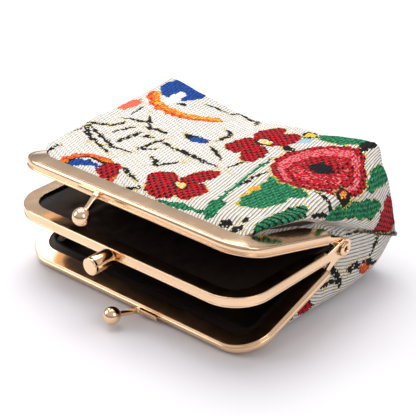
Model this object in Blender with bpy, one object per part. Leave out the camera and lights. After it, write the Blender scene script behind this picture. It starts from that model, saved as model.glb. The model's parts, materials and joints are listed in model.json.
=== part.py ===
"""Double-compartment kiss-lock coin purse, lying on its back panel with the mouth half open.

The purse is modelled around its hinge line. In each frame's own coordinates X runs along the
hinge line, "reach" runs from the hinge out to the frame's bar (the frame's -Y) and "lift" is
the height above the frame's plane (the frame's +Z). Each frame is parented to an empty on the
hinge line, which tilts it. Soft parts behind the hinge are modelled where they lie.
"""
import math

import bmesh
import bpy
from mathutils import Vector

# ---------------------------------------------------------------- driving dimensions (metres)
# Place of the hinge line: the origin is the bottom centre of the whole purse.
HINGE_X = 0.00315
HINGE_Y = 0.012216
HINGE_HEIGHT = 0.0230

# Opening angles in degrees, measured up from the horizontal.
FRONT_ANGLE = 14.5
MIDDLE_ANGLE = -1.3
BACK_ANGLE = -19.2

# The three frames: half width, hinge line to outside of the bar, outside corner radius.
MIDDLE_HALF_WIDTH = 0.0525
MIDDLE_REACH = 0.0514
MIDDLE_CORNER = 0.0132
OUTER_HALF_WIDTH = 0.0522
OUTER_REACH = 0.0508
OUTER_CORNER = 0.0119
ARC_STEPS = 7
CHANNEL_START = 0.0090        # where a leg's channel begins, in front of its hinge ear
CHANNEL_FULL = 0.0180         # where its flanges reach their full width
FLANGE_ROOT = 0.0012          # part of the section that keeps its size along the taper
FLANGE_TAPER = 0.35           # flange width at the hinge end, as a share of the full width

# Hinge ears and tubular rivets.
EAR_RADIUS = 0.0034
EAR_THICKNESS = 0.0006
EAR_OVERLAP = 0.0130          # how far an ear runs out along its leg's channel
EAR_SHOULDER = 0.0080         # where an outer frame's ear has risen to its channel
MIDDLE_EAR_INSET = 0.0001     # ear's outer side, inwards from the frame's outside
FRONT_EAR_INSET = 0.0006
BACK_EAR_INSET = 0.0015
RIVET_RADIUS = 0.0016
RIVET_BORE = 0.0009
RIVET_FLANGE_RADIUS = 0.0025
RIVET_FLANGE = 0.0005
RIVET_CLEARANCE = 0.0001
RIVET_OUTER_END = 0.0532      # distance from the middle of the purse
RIVET_INNER_END = 0.0493
GAP = 0.0003

# Clasp.
BALL_RADIUS = 0.0030
POST_RADIUS = 0.0030
POST_X = -0.0025
POST_LENGTH = 0.0095
POST_LIFT = -0.0006
CLASP_SIDE = 0.0064           # sideways distance from the post to each ball
FRONT_BALL = (0.0590, -0.0024)      # reach and lift of the ball's centre
BACK_BALL = (0.0610, -0.0015)
ARM_WIDTH = 0.0020
ARM_THICKNESS = 0.0011
ARM_BASE_LENGTH = 0.0090
ARM_BASE_LIFT = 0.0037

# Paper cords in the channels.
CORD_RADIUS = 0.00055
OUTER_CORD = (0.0021, 0.00375)      # inset and lift of the cord's centre line
MIDDLE_CORD = (0.0016, 0.0)

# Cloth.
TAPESTRY = 0.0011
LINING = 0.0004
CLOTH_INSET = 0.0031          # where the cloth's edge sits, inwards from the frame's outside
CLOTH_LIFT = 0.0047           # top of the tapestry inside an outer frame's channel
CLOTH_EXIT = 0.0072           # where the cloth is past the frame's face band
PUFF_WIDTH = 0.0140           # over which the cloth swells up to its full height
FRONT_SPLIT = 0.0225          # distance from the hinge line at which the cloth stops following
BACK_SPLIT = 0.0300           # the frame, front and back
TONGUE_HALF_WIDTH = 0.0446    # the cloth between the legs

# Pouch behind the hinge line.
POUCH_TOP = 0.0175
POUCH_BOTTOM = -0.0230
POUCH_DEPTH = 0.0368
POUCH_ROUND = 0.0100          # from here back the pouch rounds to its end
POUCH_FIRST = 0.0046          # side walls begin just behind the hinge ears
POUCH_POWER = 5.0             # squareness of the pouch's sections
BASE_SPREAD = 1.12            # how far the sections overrun the table, so that they lie flat on it
TONGUE_SPREAD = 1.04
DIVIDER_END = 0.0320
DIVIDER_HALF_WIDTH = 0.0485
DIVIDER_GAP = 0.0002          # each divider wall's distance from the middle plane

GOLD = (0.93, 0.76, 0.58, 1.0)
TAPESTRY_CREAM = (0.86, 0.82, 0.74, 1.0)
LINING_BROWN = (0.020, 0.013, 0.011, 1.0)
PAPER = (0.72, 0.62, 0.46, 1.0)


# ---------------------------------------------------------------- helpers
def clear_scene():
    for item in list(bpy.data.objects):
        bpy.data.objects.remove(item, do_unlink=True)


def make_material(name, colour, roughness, metallic):
    material = bpy.data.materials.new(name)
    material.use_nodes = True
    shader = material.node_tree.nodes["Principled BSDF"]
    shader.inputs["Base Color"].default_value = colour
    shader.inputs["Roughness"].default_value = roughness
    shader.inputs["Metallic"].default_value = metallic
    material.diffuse_color = colour
    return material


def hinge_empty(name, angle):
    """An empty on the hinge line; a positive angle lifts what it carries."""
    empty = bpy.data.objects.new(name, None)
    empty.location = (HINGE_X, HINGE_Y, HINGE_HEIGHT)
    empty.rotation_euler = (-math.radians(angle), 0.0, 0.0)
    bpy.context.scene.collection.objects.link(empty)
    return empty


def add_object(name, mesh_data, material, parent, smooth_angle=35.0):
    """Turn a bmesh into a named, shaded object under its parent."""
    bmesh.ops.recalc_face_normals(mesh_data, faces=mesh_data.faces)
    if mesh_data.calc_volume(signed=True) < 0.0:
        bmesh.ops.reverse_faces(mesh_data, faces=mesh_data.faces)
    mesh = bpy.data.meshes.new(name)
    mesh_data.to_mesh(mesh)
    mesh_data.free()
    mesh.materials.append(material)
    mesh.shade_smooth()
    mesh.set_sharp_from_angle(angle=math.radians(smooth_angle))
    item = bpy.data.objects.new(name, mesh)
    bpy.context.scene.collection.objects.link(item)
    item.parent = parent
    return item


def boolean(item, cutter, operation):
    """Join or cut with a hidden object that stays in the file as a guide."""
    cutter.hide_render = True
    cutter.display_type = 'WIRE'
    modifier = item.modifiers.new(cutter.name, 'BOOLEAN')
    modifier.operation = operation
    modifier.solver = 'EXACT'
    modifier.object = cutter


def jaw_point(x, reach, lift):
    """Frame coordinates to the frame empty's local coordinates."""
    return Vector((x, -reach, lift))


def skin_rings(mesh_data, rings, capped):
    """Join equal closed rings of points into a tube; cap its two ends if asked."""
    rows = [[mesh_data.verts.new(point) for point in ring] for ring in rings]
    count = len(rows[0])
    for first, second in zip(rows, rows[1:]):
        for i in range(count):
            j = (i + 1) % count
            mesh_data.faces.new((first[i], first[j], second[j], second[i]))
    if capped:
        mesh_data.faces.new(rows[0][::-1])
        mesh_data.faces.new(rows[-1])
    return rows


def turned(profile, segments, centre, axis):
    """A closed solid turned from (distance along the axis, radius) points; radius 0 is a pole."""
    mesh_data = bmesh.new()
    turn = axis.normalized().to_track_quat('Z', 'Y').to_matrix()
    rows = []
    for along, radius in profile:
        if radius == 0.0:
            rows.append([mesh_data.verts.new(centre + turn @ Vector((0.0, 0.0, along)))])
            continue
        row = []
        for i in range(segments):
            angle = 2.0 * math.pi * i / segments
            offset = Vector((radius * math.cos(angle), radius * math.sin(angle), along))
            row.append(mesh_data.verts.new(centre + turn @ offset))
        rows.append(row)
    pairs = list(zip(rows, rows[1:]))
    if len(rows[0]) > 1 and len(rows[-1]) > 1:
        pairs.append((rows[-1], rows[0]))
    for first, second in pairs:
        for i in range(segments):
            j = (i + 1) % segments
            corners = [first[i % len(first)], first[j % len(first)]]
            corners += [second[j % len(second)], second[i % len(second)]]
            distinct = list(dict.fromkeys(corners))
            mesh_data.faces.new(distinct)
    return mesh_data


def plate_solid(outside, inside):
    """A closed sheet from two equal grids of points, its outer and its inner side."""
    mesh_data = bmesh.new()
    outer = [[mesh_data.verts.new(point) for point in row] for row in outside]
    inner = [[mesh_data.verts.new(point) for point in row] for row in inside]
    last_row = len(outer) - 1
    last_column = len(outer[0]) - 1
    for j in range(last_row):
        for i in range(last_column):
            mesh_data.faces.new((outer[j][i], outer[j][i + 1], outer[j + 1][i + 1], outer[j + 1][i]))
            mesh_data.faces.new((inner[j][i], inner[j + 1][i], inner[j + 1][i + 1], inner[j][i + 1]))
    rim = [(0, i) for i in range(last_column)]
    rim += [(j, last_column) for j in range(last_row)]
    rim += [(last_row, i) for i in range(last_column, 0, -1)]
    rim += [(j, 0) for j in range(last_row, 0, -1)]
    for (j, i), (k, m) in zip(rim, rim[1:] + rim[:1]):
        mesh_data.faces.new((outer[j][i], inner[j][i], inner[k][m], outer[k][m]))
    return mesh_data


def ease(value):
    """0 to 1 with a soft start and end."""
    value = min(max(value, 0.0), 1.0)
    return value * value * (3.0 - 2.0 * value)


# ---------------------------------------------------------------- frames
def frame_path(half_width, reach, corner, start):
    """Stations along the outside of a U frame: (x, reach, inward x, inward reach)."""
    side = [(half_width, start, -1.0, 0.0)]
    side.append((half_width, 0.5 * (start + CHANNEL_FULL), -1.0, 0.0))
    side.append((half_width, CHANNEL_FULL, -1.0, 0.0))
    for step in range(ARC_STEPS + 1):
        angle = 0.5 * math.pi * step / ARC_STEPS
        across = math.cos(angle)
        along = math.sin(angle)
        x = half_width - corner + corner * across
        side.append((x, reach - corner + corner * along, -across, -along))
    other = [(-x, s, -inward_x, inward_s) for x, s, inward_x, inward_s in reversed(side)]
    return side + other


def flange_share(reach):
    """Flange width along the leg, narrowing towards the hinge."""
    run = (reach - CHANNEL_START) / (CHANNEL_FULL - CHANNEL_START)
    return FLANGE_TAPER + (1.0 - FLANGE_TAPER) * ease(run)


def swept_channel(profile, path):
    """Sweep an (inset, lift) outline along a frame path."""
    rings = []
    for x, reach, inward_x, inward_reach in path:
        share = flange_share(reach)
        ring = []
        for inset, lift in profile:
            if inset > FLANGE_ROOT:
                inset = FLANGE_ROOT + (inset - FLANGE_ROOT) * share
            ring.append(jaw_point(x + inward_x * inset, reach + inward_reach * inset, lift))
        rings.append(ring)
    mesh_data = bmesh.new()
    skin_rings(mesh_data, rings, capped=True)
    return mesh_data


def outer_frame_profile(side):
    """Front (side 1) or back (side -1) channel section: lip, groove, bead and sloping face."""
    outline = [(0.0053, 0.0021), (0.0004, 0.0021), (0.00015, 0.0023), (0.00015, 0.0027)]
    outline += [(0.0005, 0.0030), (0.0005, 0.0034), (0.0002, 0.0037), (0.0, 0.0042)]
    outline += [(0.00005, 0.0048), (0.0004, 0.0053), (0.0009, 0.0055), (0.0012, 0.0053)]
    outline += [(0.0014, 0.0055), (0.0069, 0.0068), (0.0069, 0.0063)]
    outline += [(0.0014, 0.0050), (0.0011, 0.0047), (0.0011, 0.0026), (0.0053, 0.0026)]
    return [(inset, side * lift) for inset, lift in outline]


def middle_frame_profile():
    """Middle channel section: a flat band with a low lip along each edge."""
    half = [(0.0052, 0.0013), (0.0052, 0.0018), (0.0003, 0.0018), (0.0, 0.0016), (0.0, 0.00125)]
    half += [(0.0002, 0.0011)]
    lower = [(inset, -lift) for inset, lift in reversed(half)]
    return half + lower + [(0.0007, -0.0013), (0.0007, 0.0013)]


def ear_outline(low, high, shoulder):
    """Hinge ear in (reach, lift): a round end and a tab that runs out along the leg."""
    points = [(EAR_OVERLAP, high), (EAR_OVERLAP, low), (shoulder, low)]
    for degrees in range(10, -271, -20):
        angle = math.radians(degrees)
        points.append((EAR_RADIUS * math.cos(angle), EAR_RADIUS * math.sin(angle)))
    return points


def add_ears(item, parent, outline, half_width, inset):
    """Join the two hinge ears to a frame and bore them for the rivets."""
    outside = half_width - inset
    for name, sign in (("right", 1.0), ("left", -1.0)):
        mesh_data = bmesh.new()
        rings = []
        for x in (outside, outside - EAR_THICKNESS):
            rings.append([jaw_point(sign * x, reach, lift) for reach, lift in outline])
        skin_rings(mesh_data, rings, capped=True)
        material = item.data.materials[0]
        ear = add_object(item.name + "_" + name + "_ear_guide", mesh_data, material, parent)
        boolean(item, ear, 'UNION')
    radius = RIVET_RADIUS + RIVET_CLEARANCE
    profile = [(-0.06, 0.0), (-0.06, radius), (0.06, radius), (0.06, 0.0)]
    bore = turned(profile, 24, Vector((0.0, 0.0, 0.0)), Vector((1.0, 0.0, 0.0)))
    drill = add_object(item.name + "_bore_guide", bore, item.data.materials[0], parent)
    boolean(item, drill, 'DIFFERENCE')


def build_outer_frame(name, side, ear_inset, material, parent):
    path = frame_path(OUTER_HALF_WIDTH, OUTER_REACH, OUTER_CORNER, CHANNEL_START)
    item = add_object(name, swept_channel(outer_frame_profile(side), path), material, parent)
    outline = ear_outline(0.00235, 0.0051, EAR_SHOULDER)
    outline = [(reach, side * lift) for reach, lift in outline]
    add_ears(item, parent, outline, OUTER_HALF_WIDTH, ear_inset)
    return item


def build_middle_frame(material, parent):
    path = frame_path(MIDDLE_HALF_WIDTH, MIDDLE_REACH, MIDDLE_CORNER, CHANNEL_START)
    item = add_object("middle_frame", swept_channel(middle_frame_profile(), path), material, parent)
    outline = [(EAR_OVERLAP, 0.00155), (EAR_OVERLAP, -0.00155)]
    for degrees in range(-70, -291, -20):
        angle = math.radians(degrees)
        outline.append((EAR_RADIUS * math.cos(angle), EAR_RADIUS * math.sin(angle)))
    add_ears(item, parent, outline, MIDDLE_HALF_WIDTH, MIDDLE_EAR_INSET)
    return item


def build_rivet(name, sign, material, parent):
    """Tubular rivet with a turned-over flange outside and inside the stack of ears."""
    outer = RIVET_OUTER_END
    inner = RIVET_INNER_END
    profile = [(inner, RIVET_BORE), (inner, RIVET_FLANGE_RADIUS)]
    profile += [(inner + RIVET_FLANGE, RIVET_FLANGE_RADIUS), (inner + RIVET_FLANGE, RIVET_RADIUS)]
    profile += [(outer - RIVET_FLANGE, RIVET_RADIUS), (outer - RIVET_FLANGE, RIVET_FLANGE_RADIUS)]
    profile += [(outer - 0.0002, RIVET_FLANGE_RADIUS), (outer, RIVET_FLANGE_RADIUS - 0.0003)]
    profile += [(outer, RIVET_BORE + 0.0003), (outer - 0.0003, RIVET_BORE)]
    mesh_data = turned(profile, 24, Vector((0.0, 0.0, 0.0)), Vector((sign, 0.0, 0.0)))
    add_object(name, mesh_data, material, parent)


# ---------------------------------------------------------------- clasp
def build_post(material, parent):
    """Barrel catch standing out from the middle frame's bar, round at its root."""
    root = MIDDLE_REACH + GAP
    length = POST_LENGTH
    profile = [(0.0, 0.0), (0.0, 0.6 * POST_RADIUS), (0.0005, 0.86 * POST_RADIUS)]
    profile += [(0.0013, POST_RADIUS), (length - 0.0003, POST_RADIUS)]
    profile += [(length, POST_RADIUS - 0.0003), (length, 0.0)]
    centre = jaw_point(POST_X, root, POST_LIFT)
    mesh_data = turned(profile, 24, centre, Vector((0.0, -1.0, 0.0)))
    add_object("middle_clasp_post", mesh_data, material, parent)


def build_ball(name, x, reach, lift, material, parent):
    mesh_data = bmesh.new()
    bmesh.ops.create_uvsphere(mesh_data, u_segments=16, v_segments=10, radius=BALL_RADIUS)
    bmesh.ops.translate(mesh_data, verts=mesh_data.verts, vec=jaw_point(x, reach, lift))
    add_object(name, mesh_data, material, parent)


def strip_section(centre, side_way, thick_way):
    """A flat strip's cross-section with its corners cut."""
    half_side = 0.5 * ARM_WIDTH
    half_thick = 0.5 * ARM_THICKNESS
    corner = 0.4 * half_thick
    ring = []
    for a, b in ((1, 1), (-1, 1), (-1, -1), (1, -1)):
        first = (a * half_side, b * (half_thick - corner))
        second = (a * (half_side - corner), b * half_thick)
        pair = [first, second] if a * b > 0 else [second, first]
        for side, thick in pair:
            ring.append(centre + side_way * side + thick_way * thick)
    return ring


def build_arm(name, side, ball_x, ball_reach, ball_lift, material, parent):
    """Flat arm: a base along the frame's outer wall, a bend, and a strip out to the ball."""
    away = math.copysign(1.0, ball_x - POST_X)
    base_reach = OUTER_REACH + GAP + 0.5 * ARM_THICKNESS
    bend_x = ball_x + away * 0.0012
    lift = side * ARM_BASE_LIFT
    ball = jaw_point(ball_x, ball_reach, ball_lift)
    route = [jaw_point(bend_x + away * ARM_BASE_LENGTH, base_reach, lift)]
    route.append(jaw_point(bend_x + away * 0.0022, base_reach, lift))
    elbow = jaw_point(bend_x, base_reach + 0.0010, lift)
    direction = (ball - elbow).normalized()
    route.append(jaw_point(bend_x + away * 0.0009, base_reach + 0.0002, lift))
    route.append(elbow)
    route.append(elbow + direction * 0.0015)
    route.append(ball - direction * (BALL_RADIUS + GAP))
    upright = Vector((0.0, 0.0, 1.0))
    rings = []
    for i, point in enumerate(route):
        before = route[max(i - 1, 0)]
        after = route[min(i + 1, len(route) - 1)]
        forward = (after - before).normalized()
        turn = i / (len(route) - 1)
        across_end = Vector((1.0, 0.0, 0.0)) * -away
        side_way = (upright * (1.0 - ease(turn * 1.6)) + across_end * ease(turn * 1.6))
        side_way = (side_way - forward * side_way.dot(forward)).normalized()
        rings.append(strip_section(point, side_way, forward.cross(side_way)))
    mesh_data = bmesh.new()
    skin_rings(mesh_data, rings, capped=True)
    add_object(name, mesh_data, material, parent)


# ---------------------------------------------------------------- paper cords
def build_paper_cord(name, half_width, reach, corner, seat, side, material, parent):
    """Cord laid round the bottom of a frame's channel."""
    inset, lift = seat
    rings = []
    for x, s, inward_x, inward_s in frame_path(half_width, reach, corner, CHANNEL_FULL)[2:-2]:
        ring = []
        for k in range(6):
            angle = 2.0 * math.pi * k / 6
            depth = inset + CORD_RADIUS * math.cos(angle)
            height = side * lift + CORD_RADIUS * math.sin(angle)
            ring.append(jaw_point(x + inward_x * depth, s + inward_s * depth, height))
        rings.append(ring)
    mesh_data = bmesh.new()
    skin_rings(mesh_data, rings, capped=True)
    add_object(name, mesh_data, material, parent)


# ---------------------------------------------------------------- cloth that follows a frame
def inset_at(x, reach):
    """Distance inwards from the outside of an outer frame."""
    x = abs(x)
    centre_x = OUTER_HALF_WIDTH - OUTER_CORNER
    centre_reach = OUTER_REACH - OUTER_CORNER
    if x > centre_x and reach > centre_reach:
        return OUTER_CORNER - math.hypot(x - centre_x, reach - centre_reach)
    return min(OUTER_HALF_WIDTH - x, OUTER_REACH - reach)


def swell(inset):
    """Share of the cloth's full height at a distance in from the frame's outside."""
    run = min(max((inset - CLOTH_EXIT) / PUFF_WIDTH, 0.0), 1.0)
    return 1.0 - (1.0 - run) ** 2.5


def front_height(reach):
    """Height of the front panel's crown above the front frame's plane."""
    angle = math.radians(FRONT_ANGLE)
    return max(POUCH_TOP / math.cos(angle) - reach * math.tan(angle), CLOTH_LIFT + 0.0008)


def back_height(reach):
    """Height of the back panel's crown below the back frame's plane."""
    angle = math.radians(-BACK_ANGLE)
    table = -POUCH_BOTTOM / math.cos(angle) - reach * math.tan(angle) - GAP
    return min(table, CLOTH_LIFT + 0.0026 + 0.55 * (0.046 - reach))


def mouth_cloth(name, side, height, split, depth, thickness, material, parent):
    """Cloth held by an outer frame: from the split round the hinge line out to the bar.

    depth is how far the sheet's outer side lies under the tapestry's outer side.
    """
    side_insets = [CLOTH_INSET, CLOTH_EXIT, 0.0085, 0.0110, 0.0150, 0.0220, 0.0340]
    shares = [1.0 - (u - CLOTH_INSET) / (OUTER_HALF_WIDTH - CLOTH_INSET) for u in side_insets]
    shares = shares + [0.0] + [-share for share in reversed(shares)]
    end = OUTER_REACH - CLOTH_INSET
    corner = OUTER_CORNER - CLOTH_INSET
    corner_x = OUTER_HALF_WIDTH - OUTER_CORNER
    outside = []
    inside = []
    rows = 7
    for j in range(rows + 1):
        run = math.sin(0.5 * math.pi * j / rows)
        upper = []
        lower = []
        for share in shares:
            base = split * 0.9 + (end - split * 0.9) * run
            over = max(base - (end - corner), 0.0)
            reach_x = corner_x + math.sqrt(max(corner * corner - over * over, 0.0))
            x = share * reach_x
            for grid, down in ((upper, depth), (lower, depth + thickness)):
                reach = base
                for _ in range(12 if j == 0 else 1):
                    top = CLOTH_LIFT + (height(reach) - CLOTH_LIFT) * swell(inset_at(x, reach))
                    lift = top - down
                    if j == 0:
                        reach = math.sqrt(split * split - lift * lift)
                grid.append(jaw_point(x, reach, side * lift))
        outside.append(upper)
        inside.append(lower)
    blend_first_rows(outside)
    blend_first_rows(inside)
    add_object(name, plate_solid(outside, inside), material, parent)


def blend_first_rows(rows):
    """Space the rows behind the split evenly, so that none crosses the split's own row."""
    first = rows[0]
    anchor = rows[3]
    for j in (1, 2):
        rows[j] = [a.lerp(b, j / 3.0) for a, b in zip(first, anchor)]


# ---------------------------------------------------------------- pouch behind the hinge line
def right_half_width(y):
    run = min(max(y / POUCH_DEPTH, 0.0), 1.0)
    return 0.0525 + 0.0005 * math.sin(math.pi * run) - 0.0030 * run ** 2.2


def left_half_width(y):
    run = min(max(y / POUCH_DEPTH, 0.0), 1.0)
    return 0.0525 + 0.0070 * run ** 0.8


def seam_height(x, y):
    """Side seam: level with the hinge, sinking towards the pouch's end."""
    sink = 0.0075 if x > 0.0 else 0.0020
    return -0.0005 - sink * ease(y / POUCH_DEPTH) * min(abs(x) / 0.045, 1.0)


def crown_height(x, y):
    """Top panel: level over the hinge, dipping across the middle of the pouch's end."""
    end = 0.0146 + 2.3 * (x + 0.020) ** 2
    return POUCH_TOP + (end - POUCH_TOP) * ease(y / 0.034)


def pouch_point(turn, y, shrink, side, margin):
    """Point of the pouch: turn 0 is the right seam, 1 the left seam; margin lies inwards."""
    angle = math.pi * turn
    across = math.cos(angle)
    width = (right_half_width(y) if across > 0.0 else left_half_width(y)) - margin
    x = math.copysign(abs(across) ** (2.0 / POUCH_POWER), across) * width
    seam = seam_height(x, y)
    limit = (crown_height(x, y) - margin) if side > 0 else (POUCH_BOTTOM + margin)
    rise = abs(math.sin(angle)) ** (2.0 / POUCH_POWER) * shrink
    if side < 0:
        rise = min(BASE_SPREAD * rise, 1.0)
    edge = seam + side * 0.5 * GAP
    return Vector((x, y, edge + (limit - edge) * rise))


def tongue_point(turn, y, side, margin, split):
    """Cloth between the legs in front of the pouch, up to the split round the hinge line."""
    share = 1.0 - 2.0 * turn
    run = min(max((POUCH_FIRST - y) / 0.0080, 0.0), 1.0)
    half = 0.0488 - margin + (TONGUE_HALF_WIDTH - 0.0488) * run
    x = math.copysign(1.0 - (1.0 - abs(share)) ** 1.6, share) * half
    inwards = min(abs(x) / half, 1.0)
    limit = (crown_height(x, 0.0) - margin) if side > 0 else (POUCH_BOTTOM + margin)
    edge_height = side * (0.0045 + 0.0065 * run)
    rise = min(TONGUE_SPREAD * (1.0 - inwards ** 5.0) ** 0.4, 1.0)
    z = edge_height + (limit - edge_height) * rise
    if y < -0.0060:
        reach = math.sqrt(max((split - GAP) ** 2 - z * z, 0.0))
        y = -0.0060 + (-reach + 0.0060) * (y + 0.0060) / (-0.0140 + 0.0060)
    return Vector((x, y, z))


def pouch_shell(name, side, margin, thickness, split, material, parent):
    """One wall of the pouch with the tongue that runs forward between the frame's legs."""
    turns = [0.0, 0.03, 0.08, 0.14, 0.21, 0.30, 0.40, 0.50, 0.60, 0.70, 0.79, 0.86, 0.92, 0.97, 1.0]
    grids = []
    for inset in (margin, margin + thickness):
        grid = []
        for y in (-0.0140, -0.0060, 0.0):
            grid.append([tongue_point(turn, y, side, inset, split) for turn in turns])
        for y in (POUCH_FIRST, POUCH_ROUND):
            grid.append([pouch_point(turn, y, 1.0, side, inset) for turn in turns])
        depth = POUCH_DEPTH - inset - POUCH_ROUND
        steps = 6
        for step in range(1, steps + 1):
            angle = 0.5 * math.pi * step / steps
            y = POUCH_ROUND + depth * math.sin(angle) ** (2.0 / POUCH_POWER)
            shrink = max(math.cos(angle), 0.0) ** (2.0 / POUCH_POWER)
            if step == steps:
                shrink = 0.0
            grid.append([pouch_point(turn, y, shrink, side, inset) for turn in turns])
        grids.append(grid)
    add_object(name, plate_solid(grids[0], grids[1]), material, parent)


def divider_wall(name, side, material, parent):
    """Lining wall held in the middle frame's channel and running back into the pouch."""
    angle = math.radians(MIDDLE_ANGLE)
    end = MIDDLE_REACH - 0.0026
    corner = MIDDLE_CORNER - 0.0026
    stations = [end - corner * (1.0 - math.cos(0.5 * math.pi * k / 4)) for k in range(4)]
    stations += [end - corner, CHANNEL_FULL, CHANNEL_START, 0.0, -0.012, -0.024, -DIVIDER_END]
    near = []
    far = []
    for reach in stations:
        over = max(reach - (end - corner), 0.0)
        half = MIDDLE_HALF_WIDTH - MIDDLE_CORNER + math.sqrt(max(corner ** 2 - over ** 2, 0.0))
        if reach < CHANNEL_FULL:
            half = DIVIDER_HALF_WIDTH
        upper = []
        lower = []
        for share in (1.0, 0.6, 0.2, -0.2, -0.6, -1.0):
            x = share * half
            for grid, lift in ((upper, DIVIDER_GAP), (lower, DIVIDER_GAP + LINING)):
                if reach >= 0.0:
                    y = -reach * math.cos(angle)
                    z = reach * math.sin(angle)
                else:
                    y = -reach
                    z = -0.0040 * ease(-reach / DIVIDER_END)
                grid.append(Vector((x, y, z + side * lift)))
        near.append(lower)
        far.append(upper)
    add_object(name, plate_solid(near, far), material, parent)


# ---------------------------------------------------------------- assembly
def build_clasps(gold, front, middle, back):
    build_post(gold, middle)
    left = POST_X - CLASP_SIDE
    right = POST_X + CLASP_SIDE
    reach, lift = FRONT_BALL
    build_ball("front_clasp_ball", left, reach, lift, gold, front)
    build_arm("front_clasp_arm", 1.0, left, reach, lift, gold, front)
    reach, lift = BACK_BALL
    build_ball("back_clasp_ball", right, reach, -lift, gold, back)
    build_arm("back_clasp_arm", -1.0, right, reach, -lift, gold, back)


def build_cords(paper, front, middle, back):
    outer = (OUTER_HALF_WIDTH, OUTER_REACH, OUTER_CORNER)
    inner = (MIDDLE_HALF_WIDTH, MIDDLE_REACH, MIDDLE_CORNER)
    build_paper_cord("front_paper_cord", *outer, OUTER_CORD, 1.0, paper, front)
    build_paper_cord("middle_paper_cord", *inner, MIDDLE_CORD, 1.0, paper, middle)
    build_paper_cord("back_paper_cord", *outer, OUTER_CORD, -1.0, paper, back)


def build_cloth(tapestry, lining, front, back, level):
    under = TAPESTRY + GAP
    sides = [("front", 1.0, front_height, FRONT_SPLIT, front)]
    sides.append(("back", -1.0, back_height, BACK_SPLIT, back))
    for name, side, height, split, parent in sides:
        mouth_cloth(name + "_panel_mouth", side, height, split, 0.0, TAPESTRY, tapestry, parent)
        mouth_cloth(name + "_lining_mouth", side, height, split, under, LINING, lining, parent)
        pouch_shell(name + "_panel_pouch", side, 0.0, TAPESTRY, split, tapestry, level)
        pouch_shell(name + "_lining_pouch", side, under, LINING, split, lining, level)
        divider_wall(name + "_divider_lining", side, lining, level)


def main():
    clear_scene()
    gold = make_material("polished_gold", GOLD, 0.18, 1.0)
    tapestry = make_material("tapestry", TAPESTRY_CREAM, 0.85, 0.0)
    lining = make_material("satin_lining", LINING_BROWN, 0.45, 0.0)
    paper = make_material("paper_cord", PAPER, 0.9, 0.0)
    front = hinge_empty("front_jaw_axis", FRONT_ANGLE)
    middle = hinge_empty("middle_jaw_axis", MIDDLE_ANGLE)
    back = hinge_empty("back_jaw_axis", BACK_ANGLE)
    level = hinge_empty("pouch_axis", 0.0)
    build_outer_frame("front_frame", 1.0, FRONT_EAR_INSET, gold, front)
    build_middle_frame(gold, middle)
    build_outer_frame("back_frame", -1.0, BACK_EAR_INSET, gold, back)
    build_rivet("right_hinge_rivet", 1.0, gold, middle)
    build_rivet("left_hinge_rivet", -1.0, gold, middle)
    build_clasps(gold, front, middle, back)
    build_cords(paper, front, middle, back)
    build_cloth(tapestry, lining, front, back, level)


main()
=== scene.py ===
"""The looks of a double-compartment kiss-lock coin purse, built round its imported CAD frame.

Lengths are millimetres from the hinge line's middle: X runs along the hinge line, -Y out of the
mouth and Z up. Each metal frame also has its own coordinates: reach runs from the hinge line out
to the frame's bar, and lift is the height above the frame's plane.
"""
import json
import math

import bpy
import numpy as np
from mathutils import Matrix, Vector, noise


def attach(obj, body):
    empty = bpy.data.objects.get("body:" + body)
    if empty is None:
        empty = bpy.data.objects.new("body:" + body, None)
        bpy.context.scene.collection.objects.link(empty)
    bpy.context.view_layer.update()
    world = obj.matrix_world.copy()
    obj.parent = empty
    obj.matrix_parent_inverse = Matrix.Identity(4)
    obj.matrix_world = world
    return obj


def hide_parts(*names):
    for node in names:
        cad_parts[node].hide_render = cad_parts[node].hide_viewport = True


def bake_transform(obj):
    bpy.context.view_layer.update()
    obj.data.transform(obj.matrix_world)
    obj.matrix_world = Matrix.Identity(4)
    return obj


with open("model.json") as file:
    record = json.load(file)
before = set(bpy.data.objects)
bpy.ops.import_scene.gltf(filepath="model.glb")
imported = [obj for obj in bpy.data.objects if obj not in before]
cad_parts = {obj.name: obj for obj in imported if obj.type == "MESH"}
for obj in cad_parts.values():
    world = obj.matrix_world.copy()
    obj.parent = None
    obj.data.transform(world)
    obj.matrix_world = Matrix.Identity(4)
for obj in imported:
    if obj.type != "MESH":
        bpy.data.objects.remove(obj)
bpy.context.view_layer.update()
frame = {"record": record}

# ---------------------------------------------------------------- driving dimensions
MM = 0.001
HINGE = np.array(frame["record"]["behaviour"]["joints"][0]["pos_m"])
TABLE = -HINGE[2] / MM

FRONT_ANGLE = 14.5
MIDDLE_ANGLE = -1.3
BACK_ANGLE = -19.2

MIDDLE_SIZE = (52.5, 51.4, 13.2)      # half width, reach and outside corner radius of a frame
OUTER_SIZE = (52.2, 50.8, 11.9)
CHANNEL_START = 9.0                   # reach where the legs' channel starts, and where
CHANNEL_FULL = 18.0                   # its flanges have their full width
FLANGE_ROOT = 1.2                     # inset at which the flanges start
FLANGE_TAPER = 0.35                   # their share of the full width at CHANNEL_START
FACE_BAND = 6.9                       # inner edge of an outer frame's face band
EAR_RADIUS = 3.45
EAR_THICKNESS = 0.6
RIVET_RADIUS = 1.6

BALL_RADIUS = 3.0
POST_RADIUS = 3.0
POST_X = -2.5
POST_LIFT = -0.6
CLASP_SIDE = 6.4                      # from the post's middle to each ball's
FRONT_BALL = (59.0, -2.4)             # (reach, lift); the back ball's lift is mirrored
BACK_BALL = (61.0, -1.5)
ARM_WIDTH = 2.0
ARM_THICKNESS = 1.1
ARM_BASE_LENGTH = 9.0
ARM_BASE_LIFT = 3.7
ARM_GAP = 0.15
POST_END = 61.2
CORD_SEAT = (2.1, 3.75)               # (inset, lift) of the outer frames' cords
MIDDLE_CORD_SEAT = (1.6, 0.0)

TAPESTRY = 1.1                        # thickness of the cloth, and of the lining
LINING = 0.4
DIVIDER_GAP = 0.2
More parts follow.
